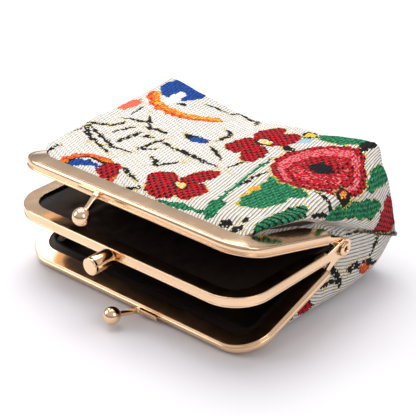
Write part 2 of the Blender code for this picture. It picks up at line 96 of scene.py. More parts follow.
STITCH = 1.5                          # pitch of the seam's stitches
SEAM_STEP = 0.16                      # between the sections of the seam's thread
SEAM_WINDOW = 9                       # sections averaged to smooth its line
LINING_SLACK = 3.8                    # drop of the pocket linings from the panels over the fold
LINING_GAP = 1.9                      # from a panel's outside to its pocket lining
DIVIDER_COLUMNS = 110
DIVIDER_HALF = 48.3                   # half width behind the middle frame's channel
DIVIDER_END = 32.0                    # from the hinge line back to the dividers' far edge
DIVIDER_DROP = 4.0                    # how much lower than the hinge line that edge is
CORD_RADIUS = 0.50
CORD_TWIST = 2.4                      # turn of the cord's oval section, in radians for each mm
FLOOR_HALF = 3.0                      # metres


def ease(value):
    """0 to 1 with a soft start and end."""
    value = np.clip(value, 0.0, 1.0)
    return value * value * (3.0 - 2.0 * value)


def mix(a, b, share):
    """a where share is 0 and b where it is 1."""
    return a + (b - a) * share


# ---------------------------------------------------------------- meshes
def jaw_to_hinge(points, angle):
    """(x, reach, lift) of a frame tilted by angle to hinge coordinates."""
    points = np.asarray(points, float)
    tilt = math.radians(angle)
    x, reach, lift = points[..., 0], points[..., 1], points[..., 2]
    y = -reach * math.cos(tilt) + lift * math.sin(tilt)
    z = reach * math.sin(tilt) + lift * math.cos(tilt)
    return np.stack([x, y, z], axis=-1)


def add_object(name, data):
    """A new object in the scene."""
    item = bpy.data.objects.new(name, data)
    bpy.context.scene.collection.objects.link(item)
    return item


def make_object(name, points, faces, material, uv=None, smooth_angle=None):
    """A mesh object from hinge coordinates; uv holds one pair for each point."""
    mesh = bpy.data.meshes.new(name)
    world = HINGE + np.asarray(points, float).reshape(-1, 3) * MM
    mesh.from_pydata(world.tolist(), [], [list(map(int, face)) for face in faces])
    if uv is not None:
        layer = mesh.uv_layers.new(name="cloth")
        corner = np.empty(len(mesh.loops), dtype=np.int32)
        mesh.loops.foreach_get("vertex_index", corner)
        layer.data.foreach_set("uv", np.asarray(uv, float).reshape(-1, 2)[corner].ravel())
    mesh.validate()
    mesh.shade_smooth()
    if smooth_angle:
        mesh.set_sharp_from_angle(angle=math.radians(smooth_angle))
    mesh.materials.append(material)
    return add_object(name, mesh)


def grid_faces(rows, columns, offset=0, flip=False, wrap=False):
    """Quads of a grid of points numbered row by row."""
    faces = []
    last = columns if wrap else columns - 1
    for j in range(rows - 1):
        for i in range(last):
            k = (i + 1) % columns
            face = [j * columns + i, j * columns + k, (j + 1) * columns + k, (j + 1) * columns + i]
            face = [offset + index for index in face]
            faces.append(face[::-1] if flip else face)
    return faces


def tube(rings):
    """Points and faces of a capped tube through equal closed rings."""
    rings = np.asarray(rings, float)
    rows, columns = rings.shape[:2]
    faces = grid_faces(rows, columns, wrap=True)
    faces.append(list(range(columns))[::-1])
    faces.append([(rows - 1) * columns + i for i in range(columns)])
    return rings.reshape(-1, 3), faces


def loop_skin(rings):
    """Points and faces of a skin through equal closed rings, the last joined to the first."""
    rings = np.asarray(rings, float)
    rows, columns = rings.shape[:2]
    count = rows * columns
    faces = grid_faces(rows + 1, columns, wrap=True)
    return rings.reshape(-1, 3), [[index % count for index in face] for face in faces]


def sheet_solid(outside, inside, flip):
    """Points and faces of a closed sheet from two equal grids."""
    rows, columns = outside.shape[:2]
    points = np.concatenate([outside.reshape(-1, 3), inside.reshape(-1, 3)])
    count = rows * columns
    faces = grid_faces(rows, columns, flip=flip)
    faces += grid_faces(rows, columns, offset=count, flip=not flip)
    rim = [(0, i) for i in range(columns - 1)]
    rim += [(j, columns - 1) for j in range(rows - 1)]
    rim += [(rows - 1, i) for i in range(columns - 1, 0, -1)]
    rim += [(j, 0) for j in range(rows - 1, 0, -1)]
    numbers = [j * columns + i for j, i in rim]
    for a, b in zip(numbers, numbers[1:] + numbers[:1]):
        face = [a, a + count, b + count, b]
        faces.append(face[::-1] if flip else face)
    return points, faces


def merge(parts):
    """Several (points, faces) as one."""
    points = []
    faces = []
    count = 0
    for part_points, part_faces in parts:
        points.append(np.asarray(part_points, float).reshape(-1, 3))
        faces += [[index + count for index in face] for face in part_faces]
        count += len(points[-1])
    return np.concatenate(points), faces


def grid_normals(grid):
    """Unit normals of a grid of points."""
    along = np.gradient(grid, axis=0)
    across = np.gradient(grid, axis=1)
    normal = np.cross(across, along)
    length = np.linalg.norm(normal, axis=-1, keepdims=True)
    return normal / np.maximum(length, 1e-9)


def outward_normals(grid, side):
    """Normals of the front (side 1) or back (side -1) panel that point out of the purse."""
    normal = grid_normals(grid)
    if normal[CROWN_ROW, grid.shape[1] // 2, 2] * side < 0:
        normal = -normal
    return normal


def smooth_line(points, samples):
    """A Catmull-Rom curve through the points."""
    points = np.asarray(points, float)
    padded = np.concatenate([[2 * points[0] - points[1]], points, [2 * points[-1] - points[-2]]])
    values = np.linspace(0.0, len(points) - 1, samples)
    start = np.minimum(values.astype(int), len(points) - 2)
    t = (values - start)[:, None]
    a, b, c, d = padded[start], padded[start + 1], padded[start + 2], padded[start + 3]
    return 0.5 * (2 * b + (c - a) * t + (2 * a - 5 * b + 4 * c - d) * t * t
                  + (3 * b - a - 3 * c + d) * t ** 3)


def run_along(line):
    """Distance along a line at each of its points."""
    steps = np.linalg.norm(np.diff(line, axis=0), axis=1)
    return np.concatenate([[0.0], np.cumsum(steps)])


def placed_at(values, run, distances):
    """Rows of values, known at the distances in run, taken at other distances."""
    return np.stack([np.interp(distances, run, column) for column in values.T], axis=1)


def rounded(corners, steps=5):
    """A closed outline from (x, y, radius) corners, each rounded by an arc of its radius."""
    outline = []
    count = len(corners)
    for i in range(count):
        x, y, radius = corners[i]
        here = np.array([x, y])
        before = np.array(corners[i - 1][:2]) - here
        after = np.array(corners[(i + 1) % count][:2]) - here
        if radius == 0.0:
            outline.append(here)
            continue
        before_way = before / np.linalg.norm(before)
        after_way = after / np.linalg.norm(after)
        half = 0.5 * math.acos(np.clip(before_way @ after_way, -1.0, 1.0))
        shorter = min(np.linalg.norm(before), np.linalg.norm(after))
        cut = min(radius / math.tan(half), 0.49 * shorter)
        start = here + before_way * cut
        end = here + after_way * cut
        for t in np.linspace(0.0, 1.0, steps):
            outline.append((1 - t) ** 2 * start + 2 * t * (1 - t) * here + t * t * end)
    return np.array(outline)


# ---------------------------------------------------------------- node helpers
class Nodes:
    """Builds a material's node tree with short calls."""

    def __init__(self, name):
        self.material = bpy.data.materials.new(name)
        self.material.use_nodes = True
        self.tree = self.material.node_tree
        self.shader = self.tree.nodes["Principled BSDF"]

    def add(self, kind, **settings):
        node = self.tree.nodes.new(kind)
        for key, value in settings.items():
            setattr(node, key, value)
        return node

    def put(self, socket, value):
        """Link an output to a socket, or set the socket's own value."""
        if isinstance(value, bpy.types.NodeSocket):
            self.tree.links.new(value, socket)
        else:
            socket.default_value = value

    def fill(self, node, **values):
        """Put values into a node's named inputs."""
        for key, value in values.items():
            self.put(node.inputs[key.replace("_", " ")], value)

    def place(self):
        """A point's place in its object."""
        return self.add("ShaderNodeTexCoord").outputs["Object"]

    def math(self, operation, *values):
        node = self.add("ShaderNodeMath", operation=operation)
        for socket, value in zip(node.inputs, values):
            self.put(socket, value)
        return node.outputs[0]

    def times(self, first, second):
        return self.math('MULTIPLY', first, second)

    def plus(self, first, second):
        return self.math('ADD', first, second)

    def steps(self, value, size):
        """Whole steps of this size in a value."""
        return self.math('FLOOR', self.math('DIVIDE', value, size))

    def blend(self, share, first, second):
        """Mix two colours."""
        node = self.add("ShaderNodeMix", data_type='RGBA')
        self.put(node.inputs["Factor"], share)
        self.put(node.inputs[6], first)
        self.put(node.inputs[7], second)
        return node.outputs[2]

    def noise(self, vector, scale, detail=2.0):
        node = self.add("ShaderNodeTexNoise")
        self.fill(node, Vector=vector, Scale=scale, Detail=detail)
        return node.outputs["Fac"]

    def between(self, value, low, high, start=0.0, end=1.0):
        """Map a value's range onto another, clamped."""
        node = self.add("ShaderNodeMapRange", clamp=True)
        for socket, item in zip(node.inputs, (value, low, high, start, end)):
            self.put(socket, item)
        return node.outputs[0]

    def bump(self, height, strength, distance):
        node = self.add("ShaderNodeBump")
        self.fill(node, Height=height, Strength=strength, Distance=distance)
        return node.outputs[0]

    def set(self, **values):
        """Set the surface's own inputs; returns the finished material."""
        self.fill(self.shader, **values)
        return self.material


# ---------------------------------------------------------------- materials
def gold_material(name, roughness, grain):
    """Pale rose-gold plating with faint polishing marks and smudges."""
    nodes = Nodes(name)
    place = nodes.place()
    smudge = nodes.noise(place, 260.0, detail=3.0)
    marks = nodes.noise(place, 5200.0, detail=2.0)
    colour = nodes.blend(smudge, (0.86, 0.58, 0.35, 1.0), (0.93, 0.67, 0.44, 1.0))
    rough = nodes.between(smudge, 0.3, 0.7, roughness * 0.75, roughness * 1.35)
    return nodes.set(Base_Color=colour, Metallic=1.0, Roughness=rough,
                     Normal=nodes.bump(marks, grain, 0.00002))


def lining_material():
    """Very dark brown-black satin."""
    nodes = Nodes("satin_lining")
    place = nodes.place()
    tone = nodes.noise(place, 90.0, detail=3.0)
    colour = nodes.blend(tone, (0.007, 0.004, 0.0035, 1.0), (0.016, 0.009, 0.0075, 1.0))
    weave = nodes.noise(place, 3600.0)
    return nodes.set(Base_Color=colour, Roughness=0.44, Sheen_Weight=0.02,
                     Sheen_Tint=(1.0, 0.7, 0.55, 1.0), Specular_IOR_Level=0.35,
                     Normal=nodes.bump(weave, 0.3, 0.0001))


def paper_material():
    """Twisted kraft paper."""
    nodes = Nodes("paper_cord")
    place = nodes.place()
    fibre = nodes.noise(place, 1500.0, detail=4.0)
    colour = nodes.blend(fibre, (0.42, 0.30, 0.17, 1.0), (0.66, 0.52, 0.33, 1.0))
    return nodes.set(Base_Color=colour, Roughness=0.9, Normal=nodes.bump(fibre, 0.6, 0.0002))


def seam_material():
    """Black overlock thread with ochre stitches."""
    nodes = Nodes("seam_thread")
    place = nodes.place()
    patch = nodes.noise(place, 900.0, detail=1.0)
    share = nodes.between(patch, 0.54, 0.60)
    colour = nodes.blend(share, (0.010, 0.010, 0.011, 1.0), (0.42, 0.27, 0.05, 1.0))
    twist = nodes.noise(place, 4200.0)
    return nodes.set(Base_Color=colour, Roughness=0.8, Normal=nodes.bump(twist, 0.6, 0.0001))


# Thread colours of the tapestry, linear.
CREAM = (0.96, 0.935, 0.88, 1.0)
WARM_CREAM = (0.90, 0.85, 0.76, 1.0)
OCHRE = (0.17, 0.10, 0.018, 1.0)
BLACK = (0.008, 0.008, 0.009, 1.0)
GOLDEN = (0.72, 0.52, 0.07, 1.0)
YELLOW = (0.90, 0.62, 0.06, 1.0)
ORANGE = (0.85, 0.20, 0.02, 1.0)
SALMON = (0.86, 0.17, 0.10, 1.0)
RED = (0.70, 0.006, 0.014, 1.0)
DEEP_RED = (0.20, 0.004, 0.008, 1.0)
PINK = (0.82, 0.22, 0.24, 1.0)
BLUE = (0.015, 0.10, 0.46, 1.0)
DEEP_BLUE = (0.006, 0.03, 0.15, 1.0)
GREEN = (0.012, 0.19, 0.065, 1.0)
TEAL = (0.05, 0.33, 0.18, 1.0)
DARK_GREEN = (0.004, 0.055, 0.02, 1.0)
PALE_BLUE = (0.40, 0.62, 0.74, 1.0)

RIB = 1.18                # pitch of the cloth's ribs
WEAVE_SLANT = 12.0        # the ribs' turn from the panel's length, in degrees
COLUMN = 0.5 * RIB        # width and length of one woven point
PICK = 0.5
YARN_LINE = 0.27          # where the ochre yarn shows, from the rib's middle
SPOT_PITCH = 2.7          # black spots on the red threads
SPOT_SHARE = 0.46
DASH_PITCH = 2.1          # breaks in the ochre yarn that paint the panels' lit tops paler
DASH_SHARE = 0.55

# Motifs are ovals on the flat cloth: (across, along, half width, half length, turn in degrees).
FRONT_STROKES = (
    (-46, -36, 3, .55, 80), (-50, -18, 3, .5, 90), (-45, -19, 5, .9, 146),
    (-36, -23, 6, .5, 160), (-39, -18, 8, .6, 160), (-28, -21, 4, .55, 8), (-48, -11, 3, .7, 25),
    (-43, -7, 2.4, .6, 70), (-40, 0, 4, .5, 13), (-38, -9, 3, .6, 74), (-32, -12, 4.5, .7, 80),
    (-27, -8, 2, .6, 34), (-35, 1, 5, .6, 133), (-29, -2, 3.5, .7, 6), (-22, -12, 5, .55, 84),
    (-19, -8, 3, .6, 0), (-12, -20, 3, .5, 147), (-8, -19, 4, .55, 61), (-4, -9, 8, .8, 176),
    (-1, -2, 4, .5, 150), (-7, 10, 3, .7, 91), (-9, 14, 2.4, .7, 150), (-28, 30, 4, .45, 14),
    (-22, 33, 2.4, .5, 60), (-16, 33, 3, .7, 170), (-11, 31, 3, .6, 122), (15, 17, 3, 1.3, 146),
    (11, -2, 5, .4, 79), (21, -8, 5, .5, 88), (44, -2, 6, .55, 172), (51, -4, 2.4, .6, 150),
    (-11, -33, 4, .55, 158), (-5, -38, 2, .6, 30), (51, -8, 4, .55, 71), (57, 16, 1.5, .8, 17),
    (-46, 6, 3, .4, 100), (34, -37, 1.6, 1.1, 60), (39, -37, 1.6, 1.2, 10),
    (38, -32, 1.2, .8, 90), (-20, -15, 2.4, .5, 40), (-42, 46, 4, .6, 20), (-34, 52, 3, .6, 100),
    (-14, 41, 5, .6, 150), (12, 52, 3, .7, 60), (36, 45, 5, .6, 140), (44, 52, 3, .6, 80),
    (30, 42, 3, .6, 20), (-20, 53, 4, .5, 170), (-60, -12, 3, .6, 20), (-63, 0, 4, .6, 70),
    (-66, 28, 5, .6, 150), (-72, 10, 4, .6, 110),
)
BACK_STROKES = (
    (58, 1, 4, 1.2, 157), (57, -4, 3, .9, 104), (58, 10, 3, 1.0, 89), (55, 21, 5, .7, 117),
    (53, -18, 3, .8, 60), (-52, 4, 5, .7, 100), (-44, -12, 4, .6, 30), (-30, 12, 6, .6, 150),
    (-24, -20, 5, .5, 80), (-12, 4, 4, .7, 10), (2, -16, 6, .6, 120), (10, 14, 4, .6, 70),
    (-4, 26, 5, .5, 160), (26, -24, 4, .6, 20), (34, 4, 6, .5, 100), (42, -14, 4, .7, 50),
    (20, 24, 4, .6, 130), (-40, 26, 5, .6, 60), (44, 24, 4, .5, 10), (-16, -32, 4, .6, 95),
    (-62, 0, 4, .6, 30), (-60, -16, 4, .6, 110), (-66, 14, 4, .6, 60), (-70, 4, 3, .6, 0),
    (-20, 40, 4, .6, 30), (-38, 42, 4, .6, 120), (0, 42, 4, .6, 60), (38, 40, 5, .6, 20),
    (50, 36, 4, .6, 100), (63, -6, 4, .7, 140), (61, 24, 4, .7, 60),
)


def once(build):
    """Share what a thread's method builds, which keeps the shader small."""
    def shared(weave):
        return weave.keep(build.__name__, lambda: build(weave))
    return shared


class Weave(Nodes):
    """Jacquard cloth: coloured points on a ribbed ground, drawn on the flat cloth's map."""

    def __init__(self, name):
        super().__init__(name)
        place = self.add("ShaderNodeUVMap", uv_map="cloth").outputs[0]
        split = self.add("ShaderNodeSeparateXYZ")
        self.put(split.inputs[0], place)
        slant = math.radians(WEAVE_SLANT)
        self.across = self.turned(split.outputs[0], split.outputs[1], slant)
        self.along = self.turned(split.outputs[1], split.outputs[0], -slant)
        self.column = self.steps(self.across, COLUMN)
        step = self.times(self.math('FLOORED_MODULO', self.column, 2.0), 0.5 * PICK)
        shifted = self.plus(self.along, step)
        self.pick = self.steps(shifted, PICK)
        a = self.times(self.plus(self.column, 0.5), COLUMN)
        b = self.times(self.plus(self.pick, 0.5), PICK)
        b = self.math('SUBTRACT', b, step)
        u = self.turned(a, b, -slant)
        v = self.turned(b, a, slant)
        join = self.add("ShaderNodeCombineXYZ")
        self.put(join.inputs[0], u)
        self.put(join.inputs[1], v)
        self.cell = join.outputs[0]
        self.kept = {}
        drift = []
        for shift in (0.0, 57.0):
            node = self.add("ShaderNodeTexNoise", noise_dimensions='4D')
            self.fill(node, Vector=self.cell, W=shift, Scale=0.32, Detail=2.0)
            drift.append(self.math('MULTIPLY_ADD', node.outputs["Fac"], 4.2, -2.1))
        self.u = self.plus(u, drift[0])
        self.v = self.plus(v, drift[1])
        white = self.add("ShaderNodeTexWhiteNoise", noise_dimensions='3D')
        self.fill(white, Vector=self.cell)
        self.random = white.outputs["Value"]
        dash = self.steps(self.pick, 3.0)
        order = self.plus(self.times(self.column, 2.0), dash)
        self.dots = self.every(order, 5.0, 1.5)
        self.twill = self.every(order, 3.0, 0.5)
        rib = self.steps(self.across, RIB)
        self.spots = self.stretches(rib, 0.5, SPOT_PITCH, SPOT_SHARE)
        self.dashes = self.stretches(rib, 0.37, DASH_PITCH, DASH_SHARE)

    def every(self, value, period, width):
        """True for the first width of every period."""
        return self.math('LESS_THAN', self.math('FLOORED_MODULO', value, period), width)

    def stretches(self, rib, shift, pitch, share):
        """True in this share of each pitch along a rib, shifted from rib to rib."""
        offset = self.times(rib, shift)
        offset = self.math('MULTIPLY_ADD', self.along, 1.0 / pitch, offset)
        return self.math('LESS_THAN', self.math('FRACT', offset), share)

    def turned(self, first, second, angle):
        """first * cos(angle) + second * sin(angle)."""
        part = self.times(second, math.sin(angle))
        return self.math('MULTIPLY_ADD', first, math.cos(angle), part)

    def keep(self, key, build):
        """The value stored under key, built on its first use."""
        if key not in self.kept:
            self.kept[key] = build()
        return self.kept[key]

    def oval(self, across, along, half_width, half_length, turn=0.0):
        """Squared distance from an oval's middle, 1 on its outline."""
        turn = math.radians(turn)
        total = None
        for way_u, way_v, size in ((math.cos(turn), math.sin(turn), half_width),
                                   (-math.sin(turn), math.cos(turn), half_length)):
            offset = -(across * way_u + along * way_v) / size
            part = self.math('MULTIPLY_ADD', self.v, way_v / size, offset)
            part = self.math('MULTIPLY_ADD', self.u, way_u / size, part)
            if total is None:
                total = self.times(part, part)
            else:
                total = self.math('MULTIPLY_ADD', part, part, total)
        return total

    def union(self, ovals):
        """The nearest of several ovals."""
        value = None
        for oval in ovals:
            item = self.oval(*oval)
            value = item if value is None else self.math('MINIMUM', value, item)
        return value

    def less(self, value, limit=1.0):
        """True inside an oval grown by limit."""
        return self.math('LESS_THAN', value, limit * limit)

    both = Nodes.times        # true where two shares both are

    def outside(self, share):
        """The opposite of a share."""
        return self.math('SUBTRACT', 1.0, share)

    def chance(self, share):
        """True for this share of the woven points."""
        build = lambda: self.math('LESS_THAN', self.random, share)
        return self.keep(("chance", share), build)

    def mixed(self, first, second, share):
        """A thread of two colours, the second in this share of the points."""
        build = lambda: self.blend(self.chance(share), first, second)
        return self.keep((first, second, share), build)

    def lay(self, where, thread):
        """Show a thread over what is woven so far."""
        self.cloth = self.blend(where, self.cloth, thread)

    def paint(self, shape, thread, rim=None, reach=1.15, rim_share=0.35):
        """Lay a motif on the cloth, with a broken rim of another thread."""
        if rim is not None:
            self.lay(self.both(self.less(shape, reach), self.chance(rim_share)), rim)
        self.lay(self.less(shape), thread)

    def ground(self):
        """Cream ribs with thin ochre lines between them, faded into dashes on the left and middle
        of each panel as painted light.
        """
        offset = self.math('FRACT', self.math('DIVIDE', self.across, RIB))
        offset = self.math('ABSOLUTE', self.math('SUBTRACT', offset, 0.5))
        line = self.between(offset, YARN_LINE, 0.40)
        patch = self.noise(self.cell, 0.35, detail=2.0)
        line = self.both(line, self.between(patch, 0.3, 0.7, 0.6, 1.0))
        # Painted light: over the left and middle of each panel the ochre lines are broken into
        # dashes, so the top, lit from overhead, reads paler than the flanks, whose ribs grazing
        # light shades dark.
        slack_and_painted_fade = self.between(self.u, 4.0, 24.0, 0.75, 0.0)
        slack_and_painted_fade = self.both(slack_and_painted_fade, self.between(self.u, -58.0, -50.0))
        line = self.both(line, self.outside(self.both(self.dashes, slack_and_painted_fade)))
        self.cloth = self.blend(self.both(self.random, 0.6), CREAM, WARM_CREAM)
        self.lay(line, OCHRE)

    @once
    def red(self):
        fill = self.blend(self.both(self.random, 0.35), RED, DEEP_RED)
        return self.blend(self.both(self.spots, self.chance(0.85)), fill, BLACK)

    @once
    def green(self):
        fill = self.mixed(GREEN, DARK_GREEN, 0.35)
        return self.blend(self.both(self.twill, self.chance(0.75)), fill, TEAL)

    @once
    def dark_green(self):
        bars = self.every(self.pick, 5.0, 1.5)
        fill = self.mixed(GREEN, TEAL, 0.3)
        return self.blend(bars, fill, BLACK)

    @once
    def blue(self):
        fill = self.blend(self.both(self.random, 0.6), BLUE, DEEP_BLUE)
        return self.blend(self.both(self.dots, self.chance(0.7)), fill, DEEP_BLUE)

    def band(self, outer, inner, limit=1.0):
        """True inside one oval, grown by limit, and outside another."""
        return self.both(self.less(outer, limit), self.outside(self.less(inner)))

    def flower(self, petals, eye):
        """Red petals with a dark-ringed yellow eye."""
        u, v, size = eye
        self.paint(self.union(petals), self.red(), GOLDEN, 1.10)
        centre = self.oval(u, v, size, size * 0.85)
        self.paint(centre, self.mixed(YELLOW, CREAM, 0.3))
        self.lay(self.both(self.band(centre, centre, 1.5), self.chance(0.8)), BLACK)

    def poppy(self, u, v, radius):
        """A round red flower with pink rings and a black heart."""
        shape = self.oval(u, v, radius, radius * 0.97, 30.0)
        self.paint(shape, self.red(), GOLDEN, 1.06)
        petal = self.mixed(PINK, RED, 0.3)
        middle = self.oval(u + 0.09 * radius, v - 0.10 * radius,
                           0.72 * radius, 0.66 * radius, 60.0)
        self.lay(self.both(self.band(shape, middle, 0.86), self.chance(0.85)), petal)
        core = self.oval(u - 0.03 * radius, v + 0.06 * radius, 0.40 * radius, 0.33 * radius, 20.0)
        self.lay(self.both(self.band(middle, core, 0.80), self.chance(0.55)), petal)
        self.paint(self.oval(u, v, radius * 0.26, radius * 0.21), BLACK)

    def leaf(self, ovals, side=None):
        """A green leaf; side is an oval along one edge for its warm serration."""
        if side is not None:
            self.paint(self.oval(*side), self.mixed(YELLOW, ORANGE, 0.35))
        self.paint(self.union(ovals), self.green(), GOLDEN, 1.07, 0.5)

    def ring(self, outer, inner, thread, within=None):
        """A band between two ovals, kept only inside a third."""
        band = self.less(self.oval(*outer))
        band = self.both(band, self.outside(self.less(self.oval(*inner))))
        if within is not None:
            band = self.both(band, self.less(self.oval(*within)))
        self.lay(band, thread)

    def strokes(self, table):
        """Thin broken dark marks with yellow edges."""
        shape = self.union(table)
        self.lay(self.both(self.less(shape, 2.4), self.chance(0.2)), GOLDEN)
        self.lay(self.both(self.less(shape, 1.42), self.chance(0.92)), BLACK)


def front_pattern(weave):
    """Motifs of the upper panel, in the order they are laid."""
    warm = weave.mixed(ORANGE, YELLOW, 0.35)
    ember = weave.mixed(ORANGE, RED, 0.35)
    weave.ground()
    weave.strokes(FRONT_STROKES)
    weave.paint(weave.oval(-52, 8.5, 2.4, 5.0), SALMON, ORANGE, 1.2, 0.8)
    weave.paint(weave.oval(-17, 2.2, 2.0, 1.6), BLACK, GOLDEN, 1.4)
    weave.paint(weave.oval(-12.5, 2.3, 3.6, 2.2), weave.blue(), BLACK, 1.2, 0.8)
    weave.paint(weave.oval(-47, 31.0, 9.5, 9.0), weave.blue())
    weave.paint(weave.oval(-44, 24.0, 2.8, 6.5, 15), CREAM)
    weave.ring((-36, 28, 19.5, 15.8), (-36.5, 29.0, 16.4, 13.0), warm, (-37, 15, 22, 12))
    weave.ring((-36, 28, 20.5, 17.0), (-36, 28, 18.6, 14.6), ember, (-37, 14, 24, 12))
    weave.paint(weave.oval(-38.5, 21.5, 2.0, 1.0, 40), BLACK)
    weave.ring((-26, -39, 13.0, 10.0), (-26, -39, 10.2, 7.4), ember)
    weave.ring((-26, -39, 10.2, 7.4), (-26, -39, 9.0, 6.2), BLACK)
    weave.ring((-27, -39.5, 8.6, 5.6), (-26, -40, 7.0, 4.0), weave.blue())
    weave.paint(weave.oval(-19.0, -34.6, 4.2, 4.6, 30), weave.red(), GOLDEN, 1.12)
    weave.paint(weave.oval(19.5, -12.0, 22.0, 0.75, 102), weave.green())
    weave.paint(weave.oval(15.5, -37.4, 10.0, 1.0, 8), weave.green())
    weave.paint(weave.oval(25.5, -32.5, 2.6, 5.6, 20), weave.green(), GOLDEN, 1.1)
    weave.leaf(((33.2, -16.5, 6.2, 9.6, -12), (34.0, -8.5, 8.6, 4.6, 12),
                (27.2, -5.0, 2.6, 3.0)), side=(28.4, -17.5, 3.0, 9.0, 14))
    weave.paint(weave.oval(46.0, -24.0, 3.8, 13.0, 3), weave.dark_green(), YELLOW, 1.1, 0.4)
    weave.leaf(((25.5, 33.0, 9.0, 5.2, 0),))
    weave.paint(weave.oval(35.5, 31.5, 2.2, 3.6), BLACK)
    weave.leaf(((54.6, 13.0, 3.4, 12.0, -12), (52.8, -1.0, 2.6, 6.5, 8),
                (49.0, 30.0, 3.4, 7.0, -10), (47.6, 20.0, 2.6, 6.0, -30)))
    weave.paint(weave.oval(63.5, 30.0, 6.5, 9.0, 20), weave.red(), BLACK, 1.08)
    weave.paint(weave.oval(15.0, 25.5, 2.2, 3.0), PALE_BLUE)
    weave.paint(weave.oval(14.0, 30.5, 2.0, 1.8), YELLOW, BLACK, 1.6, 0.7)
    weave.flower(((-0.5, -28.5, 5.0, 6.6, 20), (7.6, -20.0, 3.4, 8.2, -16),
                  (12.6, -28.5, 4.6, 6.2, 10), (5.0, -34.0, 6.2, 3.8, 20)), (7.0, -28.0, 2.1))
    weave.flower(((1.8, 9.0, 4.6, 7.2, -8), (9.0, 6.0, 3.8, 7.0, 10),
                  (2.0, 23.0, 4.4, 7.6, 6), (9.0, 22.0, 4.6, 7.0, -12)), (5.4, 16.0, 2.2))
    weave.leaf(((-28.0, 46.0, 7.0, 3.4, 25), (22.0, 48.0, 7.0, 3.2, -15),
                (-68.0, 12.0, 3.0, 7.0, 15)))
    weave.flower(((-6.0, 44.0, 5.0, 6.0, 20), (3.5, 45.0, 4.6, 6.4, -20),
                  (-1.0, 51.0, 6.0, 3.8, 0)), (-1.0, 46.5, 2.0))
    weave.paint(weave.oval(-60.0, 22.0, 3.0, 3.8), weave.red(), GOLDEN, 1.2)
    weave.poppy(33.0, 11.8, 16.6)
    weave.paint(weave.oval(48.0, 5.6, 2.8, 4.4, 35), BLACK, GOLDEN, 1.2)
    weave.paint(weave.oval(47.4, 6.2, 1.3, 2.4, 30), weave.mixed(RED, YELLOW, 0.5))


def back_pattern(weave):
    """Motifs of the lower panel."""
    bud = weave.mixed(ORANGE, RED, 0.4)
    weave.ground()
    weave.strokes(BACK_STROKES)
    weave.paint(weave.oval(54.5, 17.0, 1.8, 4.4, 30), bud, BLACK, 1.35)
    weave.paint(weave.oval(51.6, -14.0, 2.6, 3.2, 20), weave.red(), BLACK, 1.3)
    weave.paint(weave.oval(-8.0, 14.0, 20.0, 0.8, 70), weave.green())
    weave.leaf(((-14.0, -6.0, 5.0, 9.0, 30),), side=(-18.0, -6.0, 3.0, 8.0, 30))
    weave.leaf(((30.0, 28.0, 4.6, 8.5, -40), (-54.0, 22.0, 4.0, 8.0, 15),
                (-30.0, 36.0, 7.0, 3.4, 30), (-62.0, -8.0, 3.0, 6.0, -20)))
    weave.flower(((-33.0, -24.0, 5.0, 7.0, 20), (-25.0, -27.0, 4.2, 7.0, -30),
                  (-31.0, -32.0, 6.0, 4.0, 10)), (-29.0, -27.5, 2.1))
    weave.flower(((14.0, 38.0, 5.0, 7.0, 0), (22.0, 40.0, 4.6, 7.0, 15),
                  (18.0, 46.0, 7.0, 4.4, 0)), (18.0, 41.0, 2.1))
    weave.paint(weave.oval(40.0, -30.0, 3.6, 2.2), weave.blue(), BLACK, 1.2)
    weave.paint(weave.oval(-44.0, 8.0, 4.6, 2.6, 40), SALMON, ORANGE, 1.2)
    weave.poppy(18.0, -6.0, 13.0)


def tapestry_material(name, pattern):
    """Ribbed jacquard with soft wear: rib and stitch relief, dull threads and a slight nap."""
    weave = Weave(name)
    pattern(weave)
    rib = weave.math('COSINE', weave.times(weave.across, 2.0 * math.pi / RIB))
    rib = weave.times(rib, -0.5)
    shifted = weave.plus(weave.along, weave.times(weave.column, 0.5 * PICK))
    stitch = weave.math('COSINE', weave.times(shifted, 2.0 * math.pi / PICK))
    relief = weave.plus(rib, weave.times(stitch, 0.22))
    relief = weave.plus(relief, weave.times(weave.random, 0.25))
    rough = weave.between(weave.random, 0.0, 1.0, 0.68, 0.86)
    return weave.set(Base_Color=weave.cloth, Roughness=rough, Sheen_Weight=0.02,
                     Specular_IOR_Level=0.12, Normal=weave.bump(relief, 1.0, 0.00034))


# ---------------------------------------------------------------- metal frames
def frame_stations(size, start, arc_steps=20, bar_steps=12):
    """(x, reach, inward x, inward reach) along the outside of a U frame."""
    half, reach, corner = size
    side = [(half, s, -1.0, 0.0) for s in np.linspace(start, CHANNEL_FULL, 8)]
    side += [(half, s, -1.0, 0.0) for s in np.linspace(CHANNEL_FULL, reach - corner, 6)[1:-1]]
    for angle in np.linspace(0.0, 0.5 * math.pi, arc_steps):
        across, along = math.cos(angle), math.sin(angle)
        place = (half - corner + corner * across, reach - corner + corner * along)
        side.append((*place, -across, -along))
    side += [(x, reach, 0.0, -1.0) for x in np.linspace(half - corner, 0.0, bar_steps)[1:]]
    other = [(-x, s, -way_x, way_s) for x, s, way_x, way_s in reversed(side[:-1])]
    return side + other


def flange_share(reach):
    """Flange width along the leg, narrowing towards the hinge."""
    run = (reach - CHANNEL_START) / (CHANNEL_FULL - CHANNEL_START)
    return FLANGE_TAPER + (1.0 - FLANGE_TAPER) * ease(run)


def channel(profile, size):
    """Sweep an (inset, lift) outline round a frame."""
    rings = []
    for x, reach, way_x, way_reach in frame_stations(size, CHANNEL_START):
        share = flange_share(reach)
        inset = profile[:, 0].copy()
        wide = inset > FLANGE_ROOT
        inset[wide] = FLANGE_ROOT + (inset[wide] - FLANGE_ROOT) * share
        ring = np.stack([x + way_x * inset, reach + way_reach * inset, profile[:, 1]], axis=1)
        rings.append(ring)
    return tube(rings)


